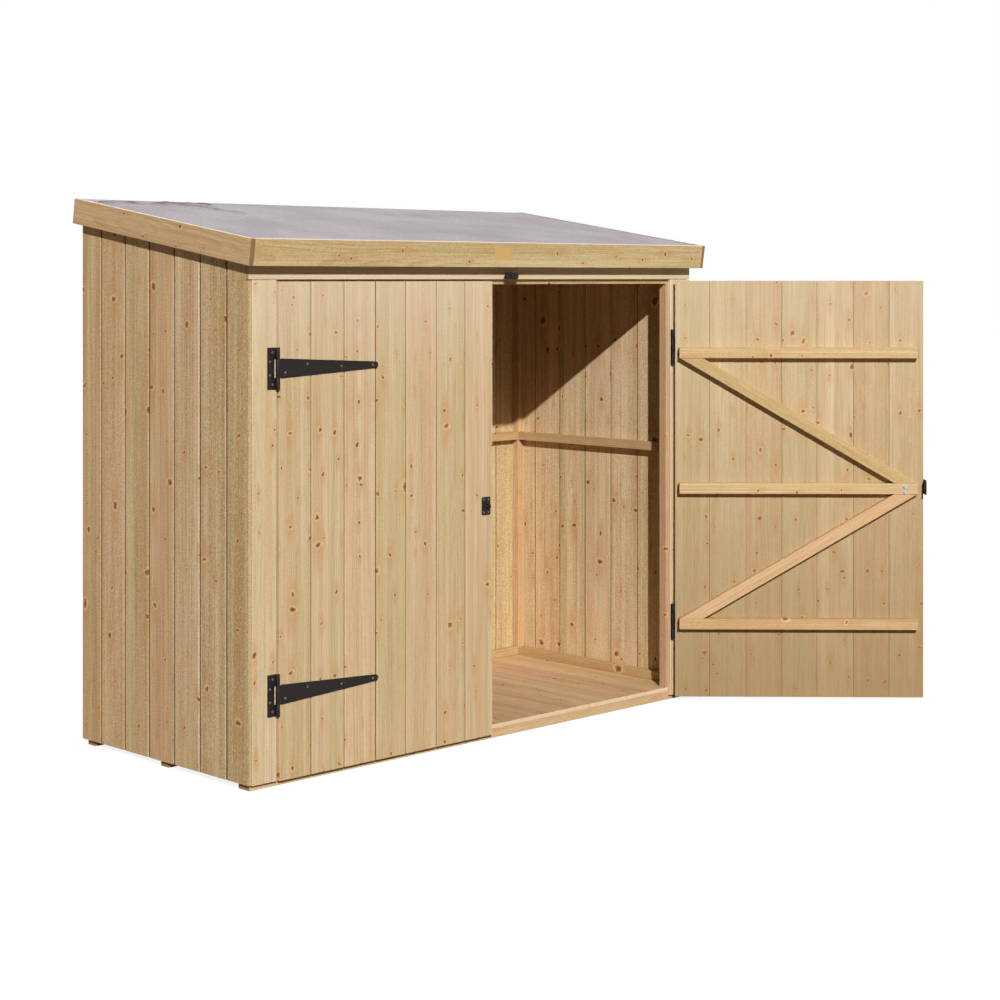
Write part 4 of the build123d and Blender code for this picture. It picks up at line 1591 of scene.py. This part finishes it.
@dataclass
class DoorLeaf:
    """A ledged and braced leaf with its hinge straps. It is made shut and then swung to its place."""

    hand: int
    seed: int
    swing: Matrix | None
    picks: tuple[Pick, ...]
    hinges: Pair
    joints: tuple[float, ...] = (3.0, 114.5, 230.5, 350.0, 465.0, 581.5, 701.0, 813.0)
    gaps: tuple[float, ...] = (0.4, 0.7, 0.4, 0.5, 2.0, 0.4, 0.6)
    top: float = 1378.0
    face: float = -408.0
    back: float = -396.0
    ledges: Triple = (257.0, 699.75, 1142.5)
    # The lowest ledge is the deepest in tone, partly as painted shade.
    ledge_tones: Triple = (1.3, 0.5, 0.4)
    ledge_width: float = 35.0
    ledge_ends: Pair = (23.0, 802.0)
    brace_width: float = 38.0
    brace_end: float = 3.0
    brace_gap: float = 0.5
    strap: float = 3.0
    strap_holes: tuple[Pair, ...] = ((25.5, -12.0), (103.5, 9.0), (225.5, 0.0), (341.5, 0.0))
    ledge_nails: tuple[float, ...] = (60.0, 175.0, 290.0, 410.0, 525.0, 640.0, 765.0)

    @property
    def name(self) -> str:
        """Left or right."""
        return "left" if self.hand < 0 else "right"

    @property
    def body(self) -> Body:
        """The leaf's CAD body."""
        return Body.LEFT_DOOR if self.hand < 0 else Body.RIGHT_DOOR

    def _joinery(self, part: str, finish: Softwood, slot: Slot, seed: int) -> Joinery:
        """Open a piece of this leaf that stands for the CAD node `part`."""
        node = f"{self.name}_{part}"
        return Joinery(node, "made", slot, finish, self.seed + seed, self.body, self.swing)

    def build(self) -> None:
        """Build the leaf's boards, ledges, braces, straps and fixings."""
        self._boards()
        ledges = self._joinery("door_ledges", LEDGE_WOOD, Slot.FRAMING, 2)
        half = self.ledge_width / 2
        x = (self.hand * self.ledge_ends[0], self.hand * self.ledge_ends[1])
        y = (self.back, SIZES.ledge_back)
        for height, tone in zip(self.ledges, self.ledge_tones):
            z, pick = (height - half, height + half), Pick(tone, 0.55, 0.4)
            ledges.timber(x, y, z, Way.RIGHT, Way.BACK, SOFTENED, pick=pick)
        ledges.build()
        self._braces()
        self._fixings()
        softened_copy(f"{self.name}_hinge_straps", self.body, 0.5)

    def _boards(self) -> None:
        """Boards of the leaf's face."""
        wood = FRONT_CLADDING if self.hand < 0 else LEAF_CLADDING
        boards = self._joinery("door_boards", wood, Slot.CLADDING, 1)
        last = len(self.picks) - 1
        y, z = (self.face, self.back), (SIZES.fronts_low, self.top)
        for number, (low, high) in enumerate(zip(self.joints, self.joints[1:])):
            near = self.gaps[number] / 2 if number else 0.0
            far = self.gaps[number + 1] / 2 if number < last else 0.0
            x = (self.hand * (low + near), self.hand * (high - far))
            worked = replace(DOOR_BOARD, bare={0: self.hand, last: -self.hand}.get(number, 0))
            boards.timber(x, y, z, Way.UP, Way.FRONT, worked, pick=self.picks[number])
        boards.build()

    def _braces(self) -> None:
        """Two braces that run from the hinge side to the middle ledge, cut level at their ends."""
        half, wide = self.ledge_width / 2, self.brace_width
        braces = self._joinery("door_braces", LEDGE_WOOD, Slot.FRAMING, 3)
        lower, middle, upper = self.ledges
        free = self.ledge_ends[0] + self.brace_end
        hinged = self.ledge_ends[1] - self.brace_end
        length, through = hinged - free, SIZES.ledge_back - self.back
        for outer, inner, pick in (
            (lower + half, middle - half, Pick(0.2, 0.95, 0.1)),
            (upper - half, middle + half, Pick(1.2, 0.0, 0.2)),
        ):
            rise = abs(inner - outer)
            # The brace's two edges reach the corners at its ends, so its axis is a little steeper.
            diagonal = math.sqrt(length * length + rise * rise - wide * wide)
            run = rise * (length * rise - wide * diagonal) / (rise * rise - wide * wide)
            sign = 1.0 if inner > outer else -1.0
            along = Vector((-self.hand * run, 0.0, sign * rise)).normalized()
            middle_y = (self.back + SIZES.ledge_back) / 2
            centre = Vector((self.hand * (free + hinged) / 2, middle_y, (outer + inner) / 2))
            high, low = max(outer, inner) - self.brace_gap, min(outer, inner) + self.brace_gap
            ends = [Cut((0.0, 0.0, high), (0.0, 0.0, 1.0)), Cut((0.0, 0.0, low), (0.0, 0.0, -1.0))]
            size = (wide, through, math.hypot(run, rise) + 160.0)
            braces.board(size, laid(Way.BACK.vector, along, centre), SOFTENED, ends, pick)
        braces.build()

    def _fixings(self) -> None:
        """Nail heads along the ledges on the face and the back, and screws in the straps."""
        nails = Fixings(f"{self.name}_door_nails", NAIL_STEEL, self.body, self.swing)
        for low, high in zip(self.joints, self.joints[1:]):
            for height in self.ledges:
                for share, lift in ((0.22, 7.0), (0.78, -7.0)):
                    x = self.hand * (low + (high - low) * share)
                    nails.head((x, self.face, height + lift), Way.FRONT.vector, DOOR_NAIL)
        nails.build()
        screws = Fixings(f"{self.name}_strap_screws", SCREW_BLACK, self.body, self.swing)
        for height in self.hinges:
            for run, rise in self.strap_holes:
                x = self.hand * (SIZES.hinge - run)
                screws.dome((x, self.face - self.strap, height + rise), 4.2, 2.1)
        screws.build()
        clenched = Fixings(f"{self.name}_ledge_nails", NAIL_STEEL, self.body, self.swing)
        for height in self.ledges:
            for x in self.ledge_nails:
                at = (self.hand * x, SIZES.ledge_back, height + (5.0 if x % 2 else -4.0))
                clenched.head(at, Way.BACK.vector, DOOR_NAIL)
        clenched.build()


@dataclass
class Ironmongery:
    """Hinge plates, hasp, staple and turn button."""

    swing: Matrix
    lock: float = 704.75
    staple_x: float = -30.5
    bolt_x: float = 67.5
    hinge_plate_y: float = -406.0
    lock_plate_y: float = -410.0
    plate_holes: tuple[Pair, ...] = ((14.0, 44.0), (23.0, 18.0), (23.0, -18.0), (14.0, -44.0))

    def build(self) -> None:
        """Build the pieces from their CAD nodes, with soft edges."""
        for node, body in (
            ("left_hinge_plates", Body.SHELTER),
            ("right_hinge_plates", Body.SHELTER),
            ("hasp_staple", Body.LEFT_DOOR),
            ("hasp_plate", Body.RIGHT_DOOR),
            ("hasp_leaf", Body.HASP_LEAF),
            ("turn_button_boss", Body.SHELTER),
            ("turn_button", Body.TURN_BUTTON),
        ):
            softened_copy(node, body, 0.4)
        screws = Fixings("hinge_plate_screws", SCREW_BLACK)
        for hand, heights in ((-1, LEFT_HINGES), (1, RIGHT_HINGES)):
            for height in heights:
                for run, rise in self.plate_holes:
                    screws.dome((hand * (SIZES.hinge + run), self.hinge_plate_y, height + rise), 4.0, 2.0)
        screws.build()
        self._lock()

    def _lock(self) -> None:
        """Screws of the staple, and the hasp's two bolts with washers and nuts on the ledge."""
        screws = Fixings("staple_screws", SCREW_BLACK, Body.LEFT_DOOR)
        for across in (-9.5, 9.5):
            for rise in (-19.0, 19.0):
                screws.dome((self.staple_x + across, self.lock_plate_y, self.lock + rise), 3.8, 1.8)
        screws.build()
        heads = Fixings("hasp_bolt_heads", JAPAN, Body.RIGHT_DOOR, self.swing)
        nuts = Fixings("hasp_nuts", ZINC, Body.RIGHT_DOOR, self.swing)
        for rise in (2.0, -16.0):
            z = self.lock + rise
            heads.head((self.bolt_x, self.lock_plate_y - 0.5, z), Way.FRONT.vector, BOLT_HEAD)
            for out, shape in ((0.0, WASHER), (1.2, NUT), (5.8, BOLT_TIP)):
                nuts.head((self.bolt_x, SIZES.ledge_back + out, z), Way.BACK.vector, shape)
        heads.build()
        nuts.build()


@dataclass(frozen=True)
class Studio:
    """Pale floor, soft daylight from the front left, and the camera at the photograph's place."""

    camera_at: Triple = (-4.27509, -4.80173, 1.38864)
    camera_turn: float = -44.41
    lens: float = 73.43
    sensor: float = 36.0
    shift_y: float = -0.22247
    to_light: Triple = (-0.7, -1.0, 0.65)
    sun: float = 3.55
    sun_angle: float = 0.8
    to_fill: Triple = (0.65, 1.0, 0.4)
    fill: float = 1.5
    fill_angle: float = 35.0
    sky: float = 0.05
    floor_glow: float = 1.23
    floor_lit: float = 0.3

    def build(self) -> None:
        """Build the floor, the light and the camera."""
        bpy.context.scene.view_settings.view_transform = "Standard"
        self._camera()
        self._sky()
        self._lamp("daylight", self.to_light, self.sun, self.sun_angle, (1.0, 0.965, 0.9))
        self._lamp("back_fill", self.to_fill, self.fill, self.fill_angle, (1.0, 0.97, 0.93))
        self._floor()

    def _camera(self) -> None:
        """Camera, level, with its horizon above the middle of the picture."""
        data = bpy.data.cameras.new("photo_camera")
        data.sensor_width = self.sensor
        data.lens = self.lens
        data.shift_y = self.shift_y
        data.clip_end = 100.0
        camera = bpy.data.objects.new("photo_camera", data)
        camera.location = self.camera_at
        camera.rotation_euler = (math.radians(90.0), 0.0, math.radians(self.camera_turn))
        bpy.context.scene.collection.objects.link(camera)
        bpy.context.scene.camera = camera

    def _lamp(self, name: str, towards: Triple, energy: float, angle: float, colour: Triple) -> None:
        """Add a sun lamp.

        Args:
            name: Its name.
            towards: The way from the shelter to it.
            energy: Its strength.
            angle: Its width in degrees: the wider, the softer its shadows.
            colour: Its linear colour.
        """
        data = bpy.data.lights.new(name, "SUN")
        data.energy = energy
        data.angle = math.radians(angle)
        data.color = colour
        lamp = bpy.data.objects.new(name, data)
        lamp.rotation_euler = Vector(towards).to_track_quat("Z", "Y").to_euler()
        lamp.location = Vector(towards) * 4.0
        bpy.context.scene.collection.objects.link(lamp)

    def _sky(self) -> None:
        """World that lights softly and looks white to the camera and in reflections."""
        world = bpy.data.worlds.new("studio_white")
        bpy.context.scene.world = world
        world.use_nodes = True
        world.node_tree.nodes.clear()
        add = partial(add_node, world.node_tree)
        light = add("Background", {"Color": linear("#FFF0DC"), "Strength": self.sky})[0]
        white = add("Background", {"Color": linear("#FFFFFF"), "Strength": 1.0})[0]
        add("OutputWorld", [add("MixShader", [self._seen(add), light, white])[0]])

    def _seen(self, add: Adder) -> Socket:
        """Tell rays that are seen from those that light things.

        Args:
            add: Adds a node to the world or the material.

        Returns:
            A socket that is 1 for rays from the camera, in reflections and through glass.
        """
        path = add("LightPath")
        seen = path["Is Camera Ray"]
        for kind in ("Is Glossy Ray", "Is Transmission Ray"):
            seen = add("Math", [seen, path[kind]], operation="MAXIMUM")[0]
        return seen

    def _floor(self) -> None:
        """Floor that is white to the camera and keeps a light shadow."""
        mesh = bmesh.new()
        bmesh.ops.create_grid(mesh, x_segments=1, y_segments=1, size=30.0)
        data = bpy.data.meshes.new("studio_floor")
        mesh.to_mesh(data)
        mesh.free()
        floor = bpy.data.objects.new("studio_floor", data)
        bpy.context.scene.collection.objects.link(floor)
        material, add = new_material("white_studio_floor")
        plain = add("BsdfDiffuse", {"Color": linear("#897962")})[0]
        pale = add("BsdfDiffuse", {"Color": linear("#F0EFEC")})[0]
        glow = add("Emission", {"Color": linear("#FFFFFF"), "Strength": self.floor_glow})[0]
        lit = add("MixShader", [self.floor_lit, glow, pale])[0]
        add("OutputMaterial", [add("MixShader", [self._seen(add), plain, lit])[0]])
        data.materials.append(material)


def shut_to_rest(joint_name: str) -> Matrix:
    """Turn that takes a piece made at a hinge's lower limit to where the model has it at rest.

    Args:
        joint_name: Name of the hinge in the record.

    Returns:
        The turn about the hinge's own axis, in metres.
    """
    joint = next(j for j in FRAME["joints"] if j["name"] == joint_name)
    angle = -math.radians(min(joint["range_deg"]))
    at = Matrix.Translation(Vector(joint["pos_m"]))
    return at @ Matrix.Rotation(angle, 4, Vector(joint["axis"])) @ at.inverted()


def main() -> None:
    """Build every piece of the shelter and the studio round it."""
    logging.basicConfig(level=logging.INFO, format="%(name)s %(message)s", stream=sys.stdout)
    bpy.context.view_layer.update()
    GroundFrame().build()
    Walls().build()
    WallFrame().build()
    Roof().build()
    DoorLeaf(-1, 200, None, LEFT_PICKS, LEFT_HINGES).build()
    swing = shut_to_rest("right_door_hinge")
    DoorLeaf(1, 300, swing, RIGHT_PICKS, RIGHT_HINGES).build()
    Ironmongery(swing).build()
    Studio().build()


if __name__ == "__main__":
    main()
